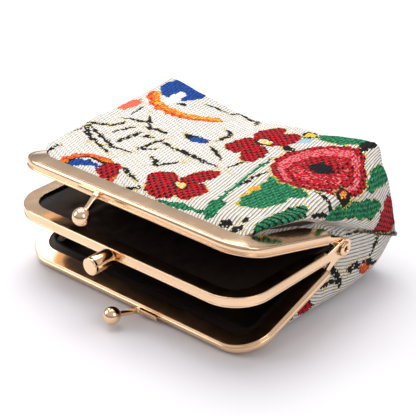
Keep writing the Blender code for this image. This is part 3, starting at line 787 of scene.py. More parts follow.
def outer_profile(side):
    """Lip, groove, bead and sloping face band of the front (1) or back (-1) frame."""
    corners = [(5.3, 2.1, 0.1), (0.35, 2.1, 0.3), (0.12, 2.45, 0.2), (0.2, 2.8, 0.15)]
    corners += [(0.62, 3.0, 0.2), (0.62, 3.35, 0.2), (0.1, 3.55, 0.45), (-0.05, 4.4, 0.9)]
    corners += [(0.1, 5.45, 0.9), (1.05, 5.55, 0.3), (1.2, 5.28, 0.08), (1.38, 5.5, 0.12)]
    corners += [(FACE_BAND, 6.8, 0.12), (FACE_BAND, 6.3, 0.12), (1.4, 5.0, 0.1), (1.1, 4.6, 0.1)]
    corners += [(1.1, 2.6, 0.1), (5.3, 2.6, 0.1)]
    outline = rounded(corners)
    outline[:, 1] *= side
    return outline if side > 0 else outline[::-1]


def middle_profile():
    """A flat band with a low round lip along each edge."""
    half = [(5.2, 1.3, 0.1), (5.2, 1.8, 0.12), (0.3, 1.82, 0.25), (0.0, 1.6, 0.2)]
    half += [(0.02, 1.2, 0.12), (0.2, 1.1, 0.06)]
    lower = [(inset, -lift, radius) for inset, lift, radius in reversed(half)]
    return rounded(half + lower + [(0.7, -1.3, 0.1), (0.7, 1.3, 0.1)])[::-1]


def ear(outside, sign, outline, hole):
    """Round-ended hinge ear with a hole, cut from sheet; outline is (reach, lift) corners."""
    outline = np.asarray(outline, float)
    segments = 96
    angles = np.linspace(0.0, 2.0 * math.pi, segments, endpoint=False)
    radii = []
    for angle in angles:
        way = np.array([math.cos(angle), math.sin(angle)])
        best = EAR_RADIUS
        for a, b in zip(outline, np.roll(outline, -1, axis=0)):
            matrix = np.array([way, a - b]).T
            if abs(np.linalg.det(matrix)) < 1e-9:
                continue
            length, share = np.linalg.solve(matrix, a)
            if length > 0 and 0 <= share <= 1:
                best = max(best, length)
        radii.append(best)
    radii = np.array(radii)
    bevel = 0.12
    inside = outside - EAR_THICKNESS
    steps = [(outside - bevel, hole), (outside, hole + bevel), (outside, None)]
    steps += [(outside - bevel, 0.0), (inside + bevel, 0.0), (inside, None)]
    steps += [(inside, hole + bevel), (inside + bevel, hole)]
    rings = []
    for x, radius in steps:
        if radius is None:
            reach = radii - bevel
        elif radius == 0.0:
            reach = radii
        else:
            reach = np.full(segments, radius)
        across = np.full(segments, sign * x)
        rings.append(np.stack([across, reach * np.cos(angles), reach * np.sin(angles)], 1))
    return loop_skin(rings)


def build_frame(name, profile, size, angle, ear_outside, outline, material):
    """A U frame: its channel with a hinge ear at the end of each leg."""
    parts = [channel(profile, size)]
    for sign in (1.0, -1.0):
        parts.append(ear(ear_outside, sign, outline, RIVET_RADIUS))
    points, faces = merge(parts)
    return make_object(name, jaw_to_hinge(points, angle), faces, material, smooth_angle=50.0)


def turned(profile, start, way, segments, closed=False):
    """A solid turned about a line from start; the profile is (distance along, radius) points."""
    turn = np.array(Vector(way).normalized().to_track_quat('Z', 'Y').to_matrix())
    angles = np.linspace(0.0, 2.0 * math.pi, segments, endpoint=False)
    rings = []
    for along, radius in profile:
        radius = max(radius, 0.001)
        level = np.full(segments, along)
        local = np.stack([radius * np.cos(angles), radius * np.sin(angles), level], 1)
        rings.append(local @ turn.T)
    points, faces = loop_skin(rings) if closed else tube(rings)
    return np.asarray(start, float) + points, faces


def build_ball(name, angle, side, place, x, material):
    """A polished ball with a small collar where its arm enters."""
    centre = jaw_to_hinge((x, *place), angle)
    way = jaw_to_hinge(arm_route(side, place, x)[-2], angle) - centre
    profile = [(-BALL_RADIUS * math.cos(t), BALL_RADIUS * math.sin(t))
               for t in np.linspace(0.0, math.pi - 0.42, 40)]
    profile += [(2.84, 1.18), (3.02, 1.10), (3.08, 0.96), (3.08, 0.0)]
    points, faces = turned(profile, centre, way, 64)
    return make_object(name, points, faces, material, smooth_angle=60.0)


def arm_route(side, place, x):
    """Frame-coordinate points of a clasp arm from its base to the ball."""
    away = math.copysign(1.0, x - POST_X)
    base = OUTER_SIZE[1] + ARM_GAP + 0.5 * ARM_THICKNESS
    bend = x + away * 1.2
    lift = side * ARM_BASE_LIFT
    ball = np.array([x, *place])
    elbow = np.array([bend, base + 1.0, lift])
    way = (ball - elbow) / np.linalg.norm(ball - elbow)
    route = [(bend + away * ARM_BASE_LENGTH, base, lift), (bend + away * 6.0, base, lift)]
    route += [(bend + away * 2.2, base, lift), (bend + away * 0.9, base + 0.2, lift)]
    route += [elbow, elbow + way * 1.5, ball - way * (BALL_RADIUS + 0.15)]
    return np.array(route)


def build_arm(name, angle, side, place, x, material):
    """A flat strip: a base along the bar, a quarter bend, and a straight run out to the ball."""
    away = math.copysign(1.0, x - POST_X)
    line = smooth_line(arm_route(side, place, x), 90)
    section = rounded([(1.0, 0.55, 0.2), (-1.0, 0.55, 0.2), (-1.0, -0.55, 0.2), (1.0, -0.55, 0.2)])
    section = section * np.array([0.5 * ARM_WIDTH, ARM_THICKNESS])
    forward = np.gradient(line, axis=0)
    forward /= np.linalg.norm(forward, axis=1, keepdims=True)
    rings = []
    for i, point in enumerate(line):
        share = i / (len(line) - 1.0)
        turn = ease(1.45 * share)
        side_way = np.array([-away * turn, 0.0, 1.0 - turn])
        side_way = side_way - forward[i] * (side_way @ forward[i])
        side_way /= np.linalg.norm(side_way)
        thick_way = np.cross(forward[i], side_way)
        width = 1.0 - 0.18 * ease((share - 0.80) / 0.2)
        width *= 1.0 - 0.45 * (1.0 - ease(i / 3.0))
        rings.append([point + side_way * a * width + thick_way * b for a, b in section])
    points, faces = tube(rings)
    return make_object(name, jaw_to_hinge(points, angle), faces, material, smooth_angle=50.0)


def build_post(name, material):
    """The middle frame's stud: a waisted root, a straight body and a softly rounded end."""
    length = POST_END - MIDDLE_SIZE[1] - ARM_GAP
    radius = POST_RADIUS
    profile = [(0.0, 0.0), (0.0, 0.60 * radius), (0.25, 0.66 * radius), (0.5, 0.84 * radius)]
    profile += [(0.8, 0.93 * radius), (1.3, 0.99 * radius), (1.8, radius), (length - 1.4, radius)]
    profile += [(length - 1.25, radius - 0.06), (length - 1.1, radius)]
    profile += [(length - 0.45 * (1.0 - math.sin(t)), radius - 0.45 * (1.0 - math.cos(t)))
                for t in np.linspace(0.0, 0.5 * math.pi, 9)]
    profile += [(length + 0.04, radius - 0.9), (length + 0.06, 0.0)]
    start = jaw_to_hinge((POST_X, MIDDLE_SIZE[1] + ARM_GAP, POST_LIFT), MIDDLE_ANGLE)
    way = jaw_to_hinge((0.0, 1.0, 0.0), MIDDLE_ANGLE)
    points, faces = turned(profile, start, way, 72)
    return make_object(name, points, faces, material, smooth_angle=55.0)


def build_rivet(name, sign, material):
    """A tubular hinge rivet with a curled lip outside and a flange inside."""
    corners = [(49.3, 0.9, 0.1), (49.3, 2.4, 0.2), (49.85, 2.4, 0.2), (49.85, 1.55, 0.05)]
    corners += [(52.5, 1.55, 0.05), (52.5, 2.5, 0.18), (52.85, 2.55, 0.2), (53.2, 1.95, 0.4)]
    corners += [(53.2, 1.25, 0.3), (52.75, 0.9, 0.3)]
    points, faces = turned(rounded(corners, 7), (0.0, 0.0, 0.0), (sign, 0.0, 0.0), 64, closed=True)
    return make_object(name, points, faces, material, smooth_angle=50.0)


def build_filler(name, angle, size, seat, material):
    """Twisted paper cord packed into a frame's channel to grip the cloth."""
    inset, lift = seat
    line = [(x + way_x * inset, reach + way_reach * inset, lift, way_x, way_reach)
            for x, reach, way_x, way_reach in frame_stations(size, CHANNEL_FULL, 30, 26)]
    line = np.array(line)
    run = run_along(line[:, :3])
    even = np.arange(0.6, run[-1] - 0.6, 0.3)
    sides = 14
    rings = []
    for distance, place in zip(even, placed_at(line, run, even)):
        x, reach, level, way_x, way_reach = place
        ring = []
        for k in range(sides):
            around = 2.0 * math.pi * k / sides
            radius = CORD_RADIUS + 0.05 * math.cos(2.0 * around + distance * CORD_TWIST)
            depth = radius * math.cos(around)
            height = level + radius * math.sin(around)
            ring.append((x + way_x * depth, reach + way_reach * depth, height))
        rings.append(ring)
    points, faces = tube(rings)
    return make_object(name, jaw_to_hinge(points, angle), faces, material)


# ---------------------------------------------------------------- camera, light and floor
CAMERA_OFFSET = (297.9, -338.9, 226.2)      # from the hinge line's middle
CAMERA_AZIMUTH = 41.96
CAMERA_ELEVATION = 26.95
LENS = 127.3
SENSOR = 36.0
# Area lights in metres: name, place, aim, size and power.
LIGHTS = (
    ("overhead", (-0.22, 0.16, 0.62), (0.0, 0.0, 0.0), (0.60, 0.60), 4.6),
    ("left_window", (-0.62, -0.42, 0.40), (0.0, 0.0, 0.02), (0.45, 0.45), 1.7),
    ("right_fill", (0.75, -0.10, 0.50), (0.0, 0.0, 0.02), (0.40, 0.50), 1.3),
)


def build_camera():
    """The view of the purse's open mouth from the right and above."""
    azimuth = math.radians(CAMERA_AZIMUTH)
    elevation = math.radians(CAMERA_ELEVATION)
    right = Vector((math.cos(azimuth), math.sin(azimuth), 0.0))
    level = math.cos(elevation)
    back = Vector((math.sin(azimuth) * level, -math.cos(azimuth) * level, math.sin(elevation)))
    up = back.cross(right)
    turn = Matrix((right, up, back)).transposed().to_4x4()
    data = bpy.data.cameras.new("camera")
    data.lens = LENS
    data.sensor_width = SENSOR
    data.clip_start = 0.01
    item = add_object("camera", data)
    item.matrix_world = Matrix.Translation(Vector(HINGE + np.array(CAMERA_OFFSET) * MM)) @ turn
    bpy.context.scene.camera = item


def area_light(name, place, aim, size, power):
    data = bpy.data.lights.new(name, 'AREA')
    data.shape = 'RECTANGLE'
    data.size, data.size_y = size
    data.energy = power
    item = add_object(name, data)
    item.location = place
    item.rotation_euler = (Vector(aim) - Vector(place)).to_track_quat('-Z', 'Y').to_euler()


def build_studio():
    """A pale surround that is brighter overhead, and three area lights."""
    world = bpy.data.worlds.new("studio")
    bpy.context.scene.world = world
    bpy.context.scene.view_settings.view_transform = 'Standard'
    world.use_nodes = True
    tree = world.node_tree
    place = tree.nodes.new("ShaderNodeTexCoord")
    split = tree.nodes.new("ShaderNodeSeparateXYZ")
    ramp = tree.nodes.new("ShaderNodeMapRange")
    tree.links.new(place.outputs["Generated"], split.inputs[0])
    tree.links.new(split.outputs[2], ramp.inputs["Value"])
    for name, value in (("From Min", 0.0), ("From Max", 0.55), ("To Min", 0.24), ("To Max", 0.62)):
        ramp.inputs[name].default_value = value
    tree.links.new(ramp.outputs[0], tree.nodes["Background"].inputs["Strength"])
    tree.nodes["Background"].inputs["Color"].default_value = (0.97, 0.96, 1.0, 1.0)
    for light in LIGHTS:
        area_light(*light)


def build_floor():
    """The white table top under the purse."""
    nodes = Nodes("floor")
    place = nodes.place()
    tone = nodes.noise(place, 4.0)
    colour = nodes.blend(tone, (0.78, 0.765, 0.79, 1.0), (0.80, 0.785, 0.81, 1.0))
    material = nodes.set(Base_Color=colour, Roughness=0.6)
    mesh = bpy.data.meshes.new("floor")
    corners = [(a * FLOOR_HALF, b * FLOOR_HALF, 0.0)
               for a, b in ((-1, -1), (1, -1), (1, 1), (-1, 1))]
    mesh.from_pydata(corners, [], [(0, 1, 2, 3)])
    mesh.materials.append(material)
    add_object("floor", mesh)


# ---------------------------------------------------------------- cloth panels
# Where the cloth is held: each outer frame's channel, then the side seams, then the end fold.
CLOTH_INSET = 3.1
CLOTH_LIFT = 4.7
CHANNEL_REACH = 47.7
FLANGE_REACH = 43.9
HINGE_REACH = 10.0
SEAM_START = 4.6
END_START = 12.0

# Side sections of the two panels. Each row is one station along y: the held line's (half width,
# height), then the recess, the underside of the bulge, its widest point, its shoulder and the
# start of the flat middle. The held line in front of the hinge comes from the frame.
STATIONS = (-30.0, -17.0, -5.0, 4.6, 12.0, 24.0, 34.0)
FRONT_RIGHT = (
    ((45.3, 12.0), (44.4, 14.6), (46.0, 17.2), (46.6, 18.0), (44.6, 18.9), (37.0, 18.6)),
    ((45.3, 9.0), (43.6, 11.8), (47.0, 14.4), (48.4, 15.9), (45.8, 18.0), (37.0, 18.4)),
    ((48.3, 5.0), (45.6, 7.6), (48.0, 9.9), (49.8, 11.8), (47.2, 16.4), (37.0, 18.2)),
    ((48.2, 1.5), (46.8, 3.8), (49.3, 5.3), (51.0, 8.2), (47.6, 15.0), (37.0, 18.0)),
    ((48.4, 0.0), (47.6, 1.2), (49.8, 2.0), (51.0, 6.0), (47.2, 14.2), (36.5, 18.0)),
    ((49.0, -4.8), (48.9, -4.2), (49.8, -3.0), (50.0, 3.0), (46.2, 13.4), (36.5, 18.4)),
    ((48.8, -8.8), (48.8, -8.0), (48.5, -6.0), (47.0, 2.0), (43.6, 14.4), (37.0, 19.4)),
)
FRONT_LEFT = (
    ((45.3, 12.0), (46.8, 14.0), (49.2, 15.6), (50.6, 16.9), (49.6, 18.2), (45.0, 18.5)),
    ((45.3, 9.0), (46.6, 12.0), (50.8, 14.6), (52.6, 17.0), (51.4, 18.3), (46.0, 18.4)),
    ((48.3, 5.0), (48.8, 8.0), (52.3, 13.0), (54.0, 17.0), (52.8, 18.4), (47.0, 18.3)),
    ((50.0, 0.6), (51.3, 4.0), (53.9, 12.0), (54.9, 17.0), (53.7, 18.4), (48.0, 18.3)),
    ((51.6, 0.0), (52.9, 4.0), (54.9, 12.0), (55.6, 17.0), (54.4, 18.4), (48.0, 18.2)),
    ((54.6, -1.5), (55.5, 4.0), (56.6, 12.0), (57.2, 17.0), (56.0, 18.4), (49.0, 18.1)),
    ((56.6, -2.5), (57.2, 4.0), (58.4, 12.0), (58.9, 17.2), (57.9, 18.5), (50.5, 17.9)),
)
BACK_RIGHT = (
    ((45.3, -14.3), (46.3, -16.6), (48.2, -17.9), (48.2, -19.6), (45.0, -21.6), (38.0, -22.2)),
    ((45.3, -10.4), (46.0, -13.4), (48.3, -15.7), (48.8, -18.6), (45.6, -22.0), (39.0, -23.0)),
    ((48.3, -7.0), (48.8, -9.6), (49.6, -13.0), (49.3, -18.3), (45.8, -22.2), (39.5, -23.0)),
    ((48.2, 1.5), (48.9, -4.0), (50.0, -11.0), (49.3, -18.0), (45.6, -22.2), (39.5, -23.0)),
    ((48.4, 0.0), (49.3, -5.0), (50.2, -11.0), (49.2, -17.6), (45.2, -22.2), (39.0, -23.0)),
    ((49.0, -4.8), (49.6, -8.0), (49.7, -12.0), (48.4, -17.2), (44.2, -22.0), (38.0, -23.0)),
    ((48.8, -8.8), (48.6, -10.6), (47.8, -13.6), (46.0, -17.6), (42.0, -21.4), (36.0, -22.9)),
)
BACK_LEFT = (
    ((45.3, -14.3), (46.4, -16.6), (48.6, -17.9), (48.8, -19.6), (45.6, -21.6), (38.5, -22.2)),
    ((45.3, -10.4), (46.4, -13.4), (49.6, -15.8), (50.2, -18.8), (46.8, -22.0), (39.5, -23.0)),
    ((48.3, -7.0), (49.6, -9.6), (51.4, -13.4), (51.2, -18.4), (47.6, -22.2), (41.0, -23.0)),
    ((50.0, 0.6), (51.6, -5.0), (53.2, -11.0), (52.6, -18.2), (48.8, -22.2), (42.0, -23.0)),
    ((51.6, 0.0), (52.9, -5.0), (54.2, -11.0), (53.4, -18.0), (49.4, -22.2), (42.5, -23.0)),
    ((54.6, -1.5), (55.3, -6.0), (55.6, -12.0), (54.4, -17.8), (50.2, -22.0), (43.0, -23.0)),
    ((56.6, -2.5), (56.8, -7.0), (56.2, -12.6), (54.6, -17.6), (50.4, -21.6), (43.0, -22.8)),
)
HALF_COLUMNS = 104
CROWN_ROW = 60            # a row of the panels' grids that crosses the flat middle
FOLD_END = 34.0           # y of the far end, before it is shaped
FOLD_DROP = 20.0          # from the crown to the end seam
FOLD_RADIUS = {1: 2.2, -1: 6.5}


def bump_at(value, centre, width):
    """A smooth hump of height 1."""
    return np.exp(-((value - centre) / width) ** 2)


def wander(x, y, scale, seed):
    """Smooth noise between about -1 and 1."""
    flat = [noise.noise(Vector((a / scale + seed, b / scale, seed * 1.7)))
            for a, b in zip(np.ravel(x), np.ravel(y))]
    return np.reshape(flat, np.shape(x)) * 1.6


class Panel:
    """The outer surface of the front (side 1) or back (side -1) tapestry panel."""

    def __init__(self, side, angle):
        self.side = side
        self.angle = math.radians(angle)
        self.sections = {True: FRONT_RIGHT, False: FRONT_LEFT}
        if side < 0:
            self.sections = {True: BACK_RIGHT, False: BACK_LEFT}

    def on_frame(self, reach):
        """(y, z) of the cloth's line under the flange."""
        lift = self.side * CLOTH_LIFT
        y = -reach * math.cos(self.angle) + lift * math.sin(self.angle)
        z = reach * math.sin(self.angle) + lift * math.cos(self.angle)
        return y, z

    def exit_inset(self, reach):
        """Inset of the line where the cloth leaves the flange."""
        flange = FLANGE_ROOT + (FACE_BAND - FLANGE_ROOT) * flange_share(reach)
        return flange + 0.25

    def held(self, reach, inset):
        """Half width of the line at this inset from the frame's outside."""
        half, length, corner = OUTER_SIZE
        over = reach - (length - corner)
        if over <= 0.0:
            return half - inset
        bend = corner - inset
        return half - corner + math.sqrt(max(bend * bend - over * over, 0.0))

    def control(self, y, right):
        """Section points for one side at y, on a smooth curve through the stations."""
        table = np.array(self.sections[right], float)
        y = min(max(y, STATIONS[0]), STATIONS[-1])
        last = len(STATIONS) - 1
        k = min(max(int(np.searchsorted(STATIONS, y)) - 1, 0), last - 1)
        before, after = max(k - 1, 0), min(k + 2, last)
        a, b = STATIONS[k], STATIONS[k + 1]
        span = b - a
        t = (y - a) / span
        slope_a = (table[k + 1] - table[before]) / (b - STATIONS[before])
        slope_b = (table[after] - table[k]) / (STATIONS[after] - a)
        h00 = 2 * t ** 3 - 3 * t ** 2 + 1
        h10 = t ** 3 - 2 * t ** 2 + t
        h01 = -2 * t ** 3 + 3 * t ** 2
        h11 = t ** 3 - t ** 2
        return h00 * table[k] + h10 * span * slope_a + h01 * table[k + 1] + h11 * span * slope_b

    def crown(self, x, y):
        """Height of the flat middle."""
        if self.side < 0:
            return -np.minimum(23.0, 20.7 + 0.30 * (y + 42.5)) + 0.0 * x
        far = 18.2 - 3.6 * bump_at(x, -17.0, 15.0) + 1.6 * ease((x - 14.0) / 22.0)
        return mix(18.25 + 0.0 * x, far, ease((y - 12.0) / 23.0))

    def end_depth(self, x, share):
        """y of the end fold; share is 1 on the crown and 0 at the seam."""
        if self.side > 0:
            top = 35.2 + 2.6 * ease((-x - 42.0) / 12.0) + 4.0 * ease((x - 14.0) / 22.0)
            top = top - 5.6 * ease((x - 36.5) / 7.5)
        else:
            top = 34.0 - 3.5 * ease((abs(x) - 30.0) / 18.0)
        seam = 35.0 - 1.6 * ease(x / 45.0)
        return mix(seam, top, share ** 0.8)

    def section(self, y, base, right):
        """Evenly spaced (x, z) points from the middle out to the held line."""
        points = self.control(y, right)
        edge, top = points[-1]
        points += (np.array(base) - points[0]) * np.linspace(1.0, 0.0, len(points))[:, None] ** 1.5
        middle_x = np.linspace(edge, 0.0, 12)
        flat = np.stack([middle_x, self.crown(middle_x if right else -middle_x, y)], axis=1)
        points[-1, 1] = flat[0, 1]
        points[-2, 1] += (flat[0, 1] - top) * 0.7
        line = smooth_line(np.concatenate([points, flat[1:]]), 400)
        run = run_along(line)
        return placed_at(line, run, np.linspace(0.0, run[-1], HALF_COLUMNS)[::-1])

    def half_row(self, kind, value, right):
        """One side of a row, from the middle to the tucked edge: (x, y, z)."""
        share = 1.0
        limit = 1.0
        if kind == "jaw":
            y, base_z = self.on_frame(value)
            inset = self.exit_inset(value)
            base = self.held(value, inset)
            tuck = self.held(value, CLOTH_INSET * min(inset / FACE_BAND, 1.0))
            limit = 1.0 - (1.0 - min(max((FLANGE_REACH - 0.2 - value) / 11.0, 0.0), 1.0)) ** 2.6
        elif kind == "hinge":
            start_y, start_z = self.on_frame(HINGE_REACH)
            start = OUTER_SIZE[0] - self.exit_inset(HINGE_REACH)
            end, end_z = self.control(SEAM_START, right)[0]
            y = mix(start_y, SEAM_START, value)
            base_z = mix(start_z, end_z, ease(value))
            base = mix(start, end, value) - 0.7 * math.sin(math.pi * value)
            tuck = base + 0.6 * (1.0 - value) - 0.8 * value
        else:
            y = value
            if kind == "end":
                y, share = value
            base, base_z = self.control(y, right)[0]
            tuck = base - 0.8
        section = self.section(y, (base, base_z), right)
        held_z = np.full(HALF_COLUMNS, base_z)
        flat = np.stack([np.linspace(0.0, base, HALF_COLUMNS), held_z], axis=1)
        section = mix(flat, section, limit)
        x = np.concatenate([section[:, 0], [mix(base, tuck, 0.5), tuck]])
        z = np.concatenate([section[:, 1], [base_z, base_z]])
        if kind == "end":
            x = np.where(x > base, base + (x - base) * share ** 0.5, x)
        if not right:
            x = -x
        seams = [self.control(y, False)[0, 1], self.control(y, True)[0, 1]]
        if kind == "end":
            level = mix(seams[0], seams[1], ease((x + 52.0) / 104.0))
            z = level + (z - level) * share
            depth = self.end_depth(x, share)
            far = (y - END_START) / (FOLD_END - END_START)
            y = END_START + (depth - END_START) * far
        return np.stack([x, np.broadcast_to(y, x.shape), z], axis=1)

    def rows(self):
        """Row stations (kind, value) from the bar back to the end seam."""
        reach = list(np.linspace(CHANNEL_REACH, FLANGE_REACH - 0.5, 9))
        reach += list(np.linspace(FLANGE_REACH - 0.5, HINGE_REACH, 50)[1:])
        listing = [("jaw", value) for value in reach]
        listing += [("hinge", value) for value in np.linspace(0.0, 1.0, 20)[1:]]
        listing += [("pouch", value) for value in np.linspace(SEAM_START, END_START, 12)[1:-1]]
        fold = FOLD_RADIUS[self.side]
        straight = FOLD_END - fold - END_START
        arc = 0.5 * math.pi * fold
        for run in np.linspace(0.0, straight + arc + FOLD_DROP - fold, 66):
            y, drop = END_START + run, 0.0
            if straight <= run < straight + arc:
                turn = (run - straight) / fold
                y = FOLD_END - fold + fold * math.sin(turn)
                drop = fold * (1.0 - math.cos(turn))
            elif run >= straight + arc:
                y = FOLD_END
                drop = fold + run - straight - arc
            listing.append(("end", (y, 1.0 - drop / FOLD_DROP)))
        return listing

    def surface(self):
        """Grid of points, from the left edge to the right edge, bar row first."""
        grid = []
        for kind, value in self.rows():
            left = self.half_row(kind, value, False)
            right = self.half_row(kind, value, True)
            grid.append(np.concatenate([left[:0:-1], right]))
        return np.array(grid)


def cloth_map(grid):
    """Flat cloth coordinates: distance across from the middle, and distance along the middle."""
    middle = grid.shape[1] // 2
    steps = np.linalg.norm(np.diff(grid, axis=1), axis=2)
    across = np.concatenate([np.zeros((len(grid), 1)), np.cumsum(steps, axis=1)], axis=1)
    across -= across[:, middle:middle + 1]
    along = run_along(grid[:, middle]) + grid[0, middle, 1]
    return np.stack([across, np.repeat(along[:, None], grid.shape[1], axis=1)], axis=2)


def ruffled(grid, side, seed):
    """The panel's unevenness: slow swells, puckers at the bar and a crease near the corner."""
    normal = outward_normals(grid, side)
    flat = cloth_map(grid)
    u, v = flat[..., 0], flat[..., 1]
    rows = np.linspace(0.0, 1.0, grid.shape[0])[:, None]
    columns = np.abs(np.linspace(-1.0, 1.0, grid.shape[1]))[None, :]
    fade = ease((rows - 0.055) / 0.05) * ease((1.0 - rows) / 0.03) * ease((0.96 - columns) / 0.12)
    swell = 0.42 * wander(u, v, 17.0, seed) + 0.16 * wander(u, v, 6.5, seed + 9.0)
    from_bar = v - v[8:9, :]
    pucker = 0.16 * np.sin(u * 1.7 + 1.3 * np.sin(u * 0.31)) * np.exp(-from_bar / 5.0)
    height = swell + pucker
    if side > 0:
        away = (u - 40.0) * 0.93 - (v + 26.0) * 0.36
        height = height - 0.9 * np.exp(-(away / 2.6) ** 2) * ease((-6.0 - v) / 10.0)
    else:
        height = np.minimum(height, 0.0) * 0.7
    grid = grid + normal * (height * fade)[..., None]
    grid[..., 2] = np.maximum(grid[..., 2], TABLE + 0.02)
    return grid


def tucked(grid, side, gap):
    """The grid drawn inwards by about gap and hung lower over the fold, for a pocket lining."""
    inner = grid.copy()
    middle = grid.shape[1] // 2
    y = grid[:, middle:middle + 1, 1]
    columns = np.linspace(0.0, 1.0, grid.shape[1])[None, :]
    level = mix(grid[:, :1, 2], grid[:, -1:, 2], columns)
    rise = ease(np.abs(grid[..., 2] - level) / 4.0)
    behind = ease((y + 2.0) / 6.0)
    inner[..., 0] *= 1.0 - (gap * np.maximum(rise, behind)) / 50.0
    shifted = grid[..., 2] - side * gap
    scaled = level + (grid[..., 2] - level) * (1.0 - gap / 19.0)
    inner[..., 2] = mix(shifted, scaled, ease((y + 14.0) / 12.0))
    crown = ease((np.abs(grid[..., 2] - level) - 8.0) / 7.0)
    crown = crown * ease((y + 12.0) / 10.0) * ease((32.0 - y) / 8.0)
    inner[..., 2] -= side * LINING_SLACK * crown
    inner[..., 1] *= np.where(inner[..., 1] > 0.0, 1.0 - gap / 33.0, 1.0)
    return inner


def cloth_layer(name, outside, inside, side, material):
    """A closed sheet between two grids, mapped by its outer one."""
    points, faces = sheet_solid(outside, inside, flip=side > 0)
    uv = cloth_map(outside).reshape(-1, 2)
    return make_object(name, points, faces, material, uv=np.concatenate([uv, uv]))


def backed(grid, side, thickness):
    """The grid moved inwards along its normals."""
    return grid - outward_normals(grid, side) * thickness


def build_cloth(side, angle, name, tapestry, lining):
    """One tapestry panel with the lining behind it."""
    smooth = Panel(side, angle).surface()
    grid = ruffled(smooth, side, 3.0 + side)
    cloth = cloth_layer(name + "_tapestry", grid, backed(grid, side, TAPESTRY), side, tapestry)
    inner = smooth[:-10]
    wall = cloth_layer(name + "_pocket_lining", tucked(inner, side, LINING_GAP),
                       tucked(inner, side, LINING_GAP + LINING), side, lining)
    for item, kind, slot in ((cloth, "panel", "tapestry"), (wall, "lining", "satin_lining")):
        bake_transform(item)
        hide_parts(f"{name}_{kind}_mouth", f"{name}_{kind}_pouch")
    return grid


def build_divider(name, side, lining):
    """A satin wall of the middle leaf, from the middle frame's channel back into the pouch."""
    half, reach, corner = MIDDLE_SIZE
    end = reach - 2.6
    bend = corner - 2.6
    tilt = math.radians(MIDDLE_ANGLE)
    stations = list(end - bend * (1.0 - np.cos(np.linspace(0.0, 0.5 * math.pi, 14))))
    stations += list(np.linspace(end - bend, -DIVIDER_END, 74)[1:])
    grid = []
    for station in stations:
        over = max(station - (end - bend), 0.0)
        wide = half - corner + math.sqrt(max(bend ** 2 - over ** 2, 0.0))
        if station < CHANNEL_FULL:
            wide = mix(wide, DIVIDER_HALF, ease((CHANNEL_FULL - station) / 4.0))
        if station > 0.0:
            y, z = -station * math.cos(tilt), station * math.sin(tilt)
        else:
            y, z = -station, -DIVIDER_DROP * ease(-station / DIVIDER_END)
        x = np.linspace(-wide, wide, DIVIDER_COLUMNS)
        grid.append(np.stack([x, np.full_like(x, y), np.full_like(x, z)], axis=1))
    grid = np.array(grid)
    x, y = grid[..., 0], grid[..., 1]
    free = ease((42.0 - np.abs(x)) / 8.0) * ease((y + 44.0) / 8.0) * ease((30.0 - y) / 6.0)
    slack_and_painted_fade = 0.55 * wander(x, y * 1.6, 15.0, 21.0) + 0.35 * wander(x + y, y - x, 5.5, 4.0)
    grid[..., 2] += slack_and_painted_fade * free - 0.5 * free
    outside = grid.copy()
    inside = grid.copy()
    outside[..., 2] += side * (DIVIDER_GAP + LINING)
    inside[..., 2] += side * DIVIDER_GAP
    item = cloth_layer(name + "_divider_satin", outside, inside, side, lining)
    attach(item, "purse")
    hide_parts(name + "_divider_lining")


def build_seam(grid, material):
    """The bound edge where the panels are sewn together, round the sides and the far end."""
    first = int(np.argmax(grid[:, 2, 1] > SEAM_START + 0.8))
    line = np.concatenate([grid[first:, 2], grid[-1, 3:-3], grid[first:, -3][::-1]])
    run = run_along(line)
    even = np.arange(0.0, run[-1], SEAM_STEP)
    line = placed_at(line, run, even)
    window = np.ones(SEAM_WINDOW) / SEAM_WINDOW
    margin = SEAM_WINDOW // 2
    padded = np.pad(line, ((margin, margin), (0, 0)), mode="edge")
    line = np.stack([np.convolve(padded[:, k], window, "valid") for k in range(3)], axis=1)
    away = np.gradient(line, axis=0)
    away /= np.linalg.norm(away, axis=1, keepdims=True)
    outward = np.cross(away, np.array([0.0, 0.0, 1.0]))
    outward /= np.linalg.norm(outward, axis=1, keepdims=True)
    outward *= np.sign(outward[0] @ np.array([-1.0, 0.0, 0.0]))
    rings = []
    for i, point in enumerate(line):
        stitch = even[i] * math.pi / STITCH
        radius = 0.20 + 0.14 * abs(math.sin(stitch))
        lean = 0.16 * math.cos(stitch)
        up = np.cross(outward[i], away[i])
        centre = point + outward[i] * 0.12 + up * lean
        ring = [centre + radius * (math.cos(t) * outward[i] + 1.5 * math.sin(t) * up)
                for t in np.linspace(0.0, 2.0 * math.pi, 8, endpoint=False)]
        rings.append(ring)
    points, faces = tube(rings)
    item = make_object("side_seam_stitching", points, faces, material)
    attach(item, "purse")


def place_piece(item, node, body):
    """A rigid piece that stands for one CAD node."""
    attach(item, body)
    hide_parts(node)


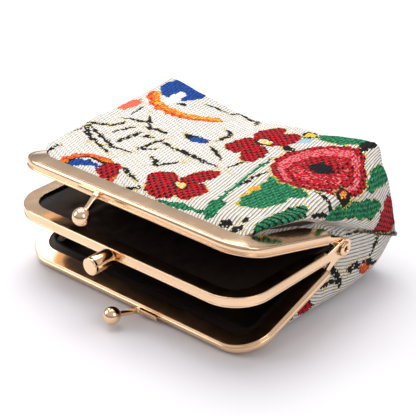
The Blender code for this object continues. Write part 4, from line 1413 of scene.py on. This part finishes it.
def build_fittings(gold, paper):
    """Clasp balls on their arms, the post, the rivets and the channel cords."""
    inset, lift = CORD_SEAT
    for name, side, angle, place, sign in (("front", 1, FRONT_ANGLE, FRONT_BALL, -1.0),
                                           ("back", -1, BACK_ANGLE, BACK_BALL, 1.0)):
        x = POST_X + sign * CLASP_SIDE
        place = (place[0], side * place[1])
        body = name + "_jaw"
        arm = build_arm(name + "_arm_strip", angle, side, place, x, gold)
        place_piece(arm, name + "_clasp_arm", body)
        ball = build_ball(name + "_clasp_knob", angle, side, place, x, gold)
        place_piece(ball, name + "_clasp_ball", body)
        cord = build_filler(name + "_channel_cord", angle, OUTER_SIZE, (inset, side * lift), paper)
        place_piece(cord, name + "_paper_cord", body)
    cord = build_filler("middle_channel_cord", MIDDLE_ANGLE, MIDDLE_SIZE, MIDDLE_CORD_SEAT,
                        paper)
    place_piece(cord, "middle_paper_cord", "purse")
    place_piece(build_post("middle_stud", gold), "middle_clasp_post", "purse")
    for name, sign in (("right", 1.0), ("left", -1.0)):
        rivet = build_rivet(name + "_rivet_tube", sign, gold)
        place_piece(rivet, name + "_hinge_rivet", "purse")


def build_all():
    polished = gold_material("polished_gold", 0.16, 0.05)
    lining = lining_material()
    tapestry = tapestry_material("front_tapestry", front_pattern)
    back_cloth = tapestry_material("back_tapestry", back_pattern)
    outer_ear = [(13.0, 5.1), (13.0, 3.5), (0.0, 0.0), (-0.6, 3.4)]
    back_ear = [(reach, -lift) for reach, lift in outer_ear]
    middle_ear = [(13.0, 1.5), (13.0, -1.5), (8.2, -1.6), (1.2, -3.2), (0.0, 0.0), (1.2, 3.2)]
    middle_ear += [(8.2, 1.6)]
    for name, profile, size, angle, ear_inset, outline, body in (
            ("front", outer_profile(1), OUTER_SIZE, FRONT_ANGLE, 0.6, outer_ear, "front_jaw"),
            ("back", outer_profile(-1), OUTER_SIZE, BACK_ANGLE, 1.5, back_ear, "back_jaw"),
            ("middle", middle_profile(), MIDDLE_SIZE, MIDDLE_ANGLE, 0.1, middle_ear, "purse")):
        item = build_frame(name + "_frame_metal", profile, size, angle, size[0] - ear_inset,
                           outline, polished)
        place_piece(item, name + "_frame", body)
    grid = build_cloth(1, FRONT_ANGLE, "front", tapestry, lining)
    build_seam(grid, seam_material())
    build_cloth(-1, BACK_ANGLE, "back", back_cloth, lining)
    build_divider("front", 1, lining)
    build_divider("back", -1, lining)
    build_fittings(gold_material("fittings_gold", 0.10, 0.04), paper_material())


build_camera()
build_studio()
build_floor()
build_all()
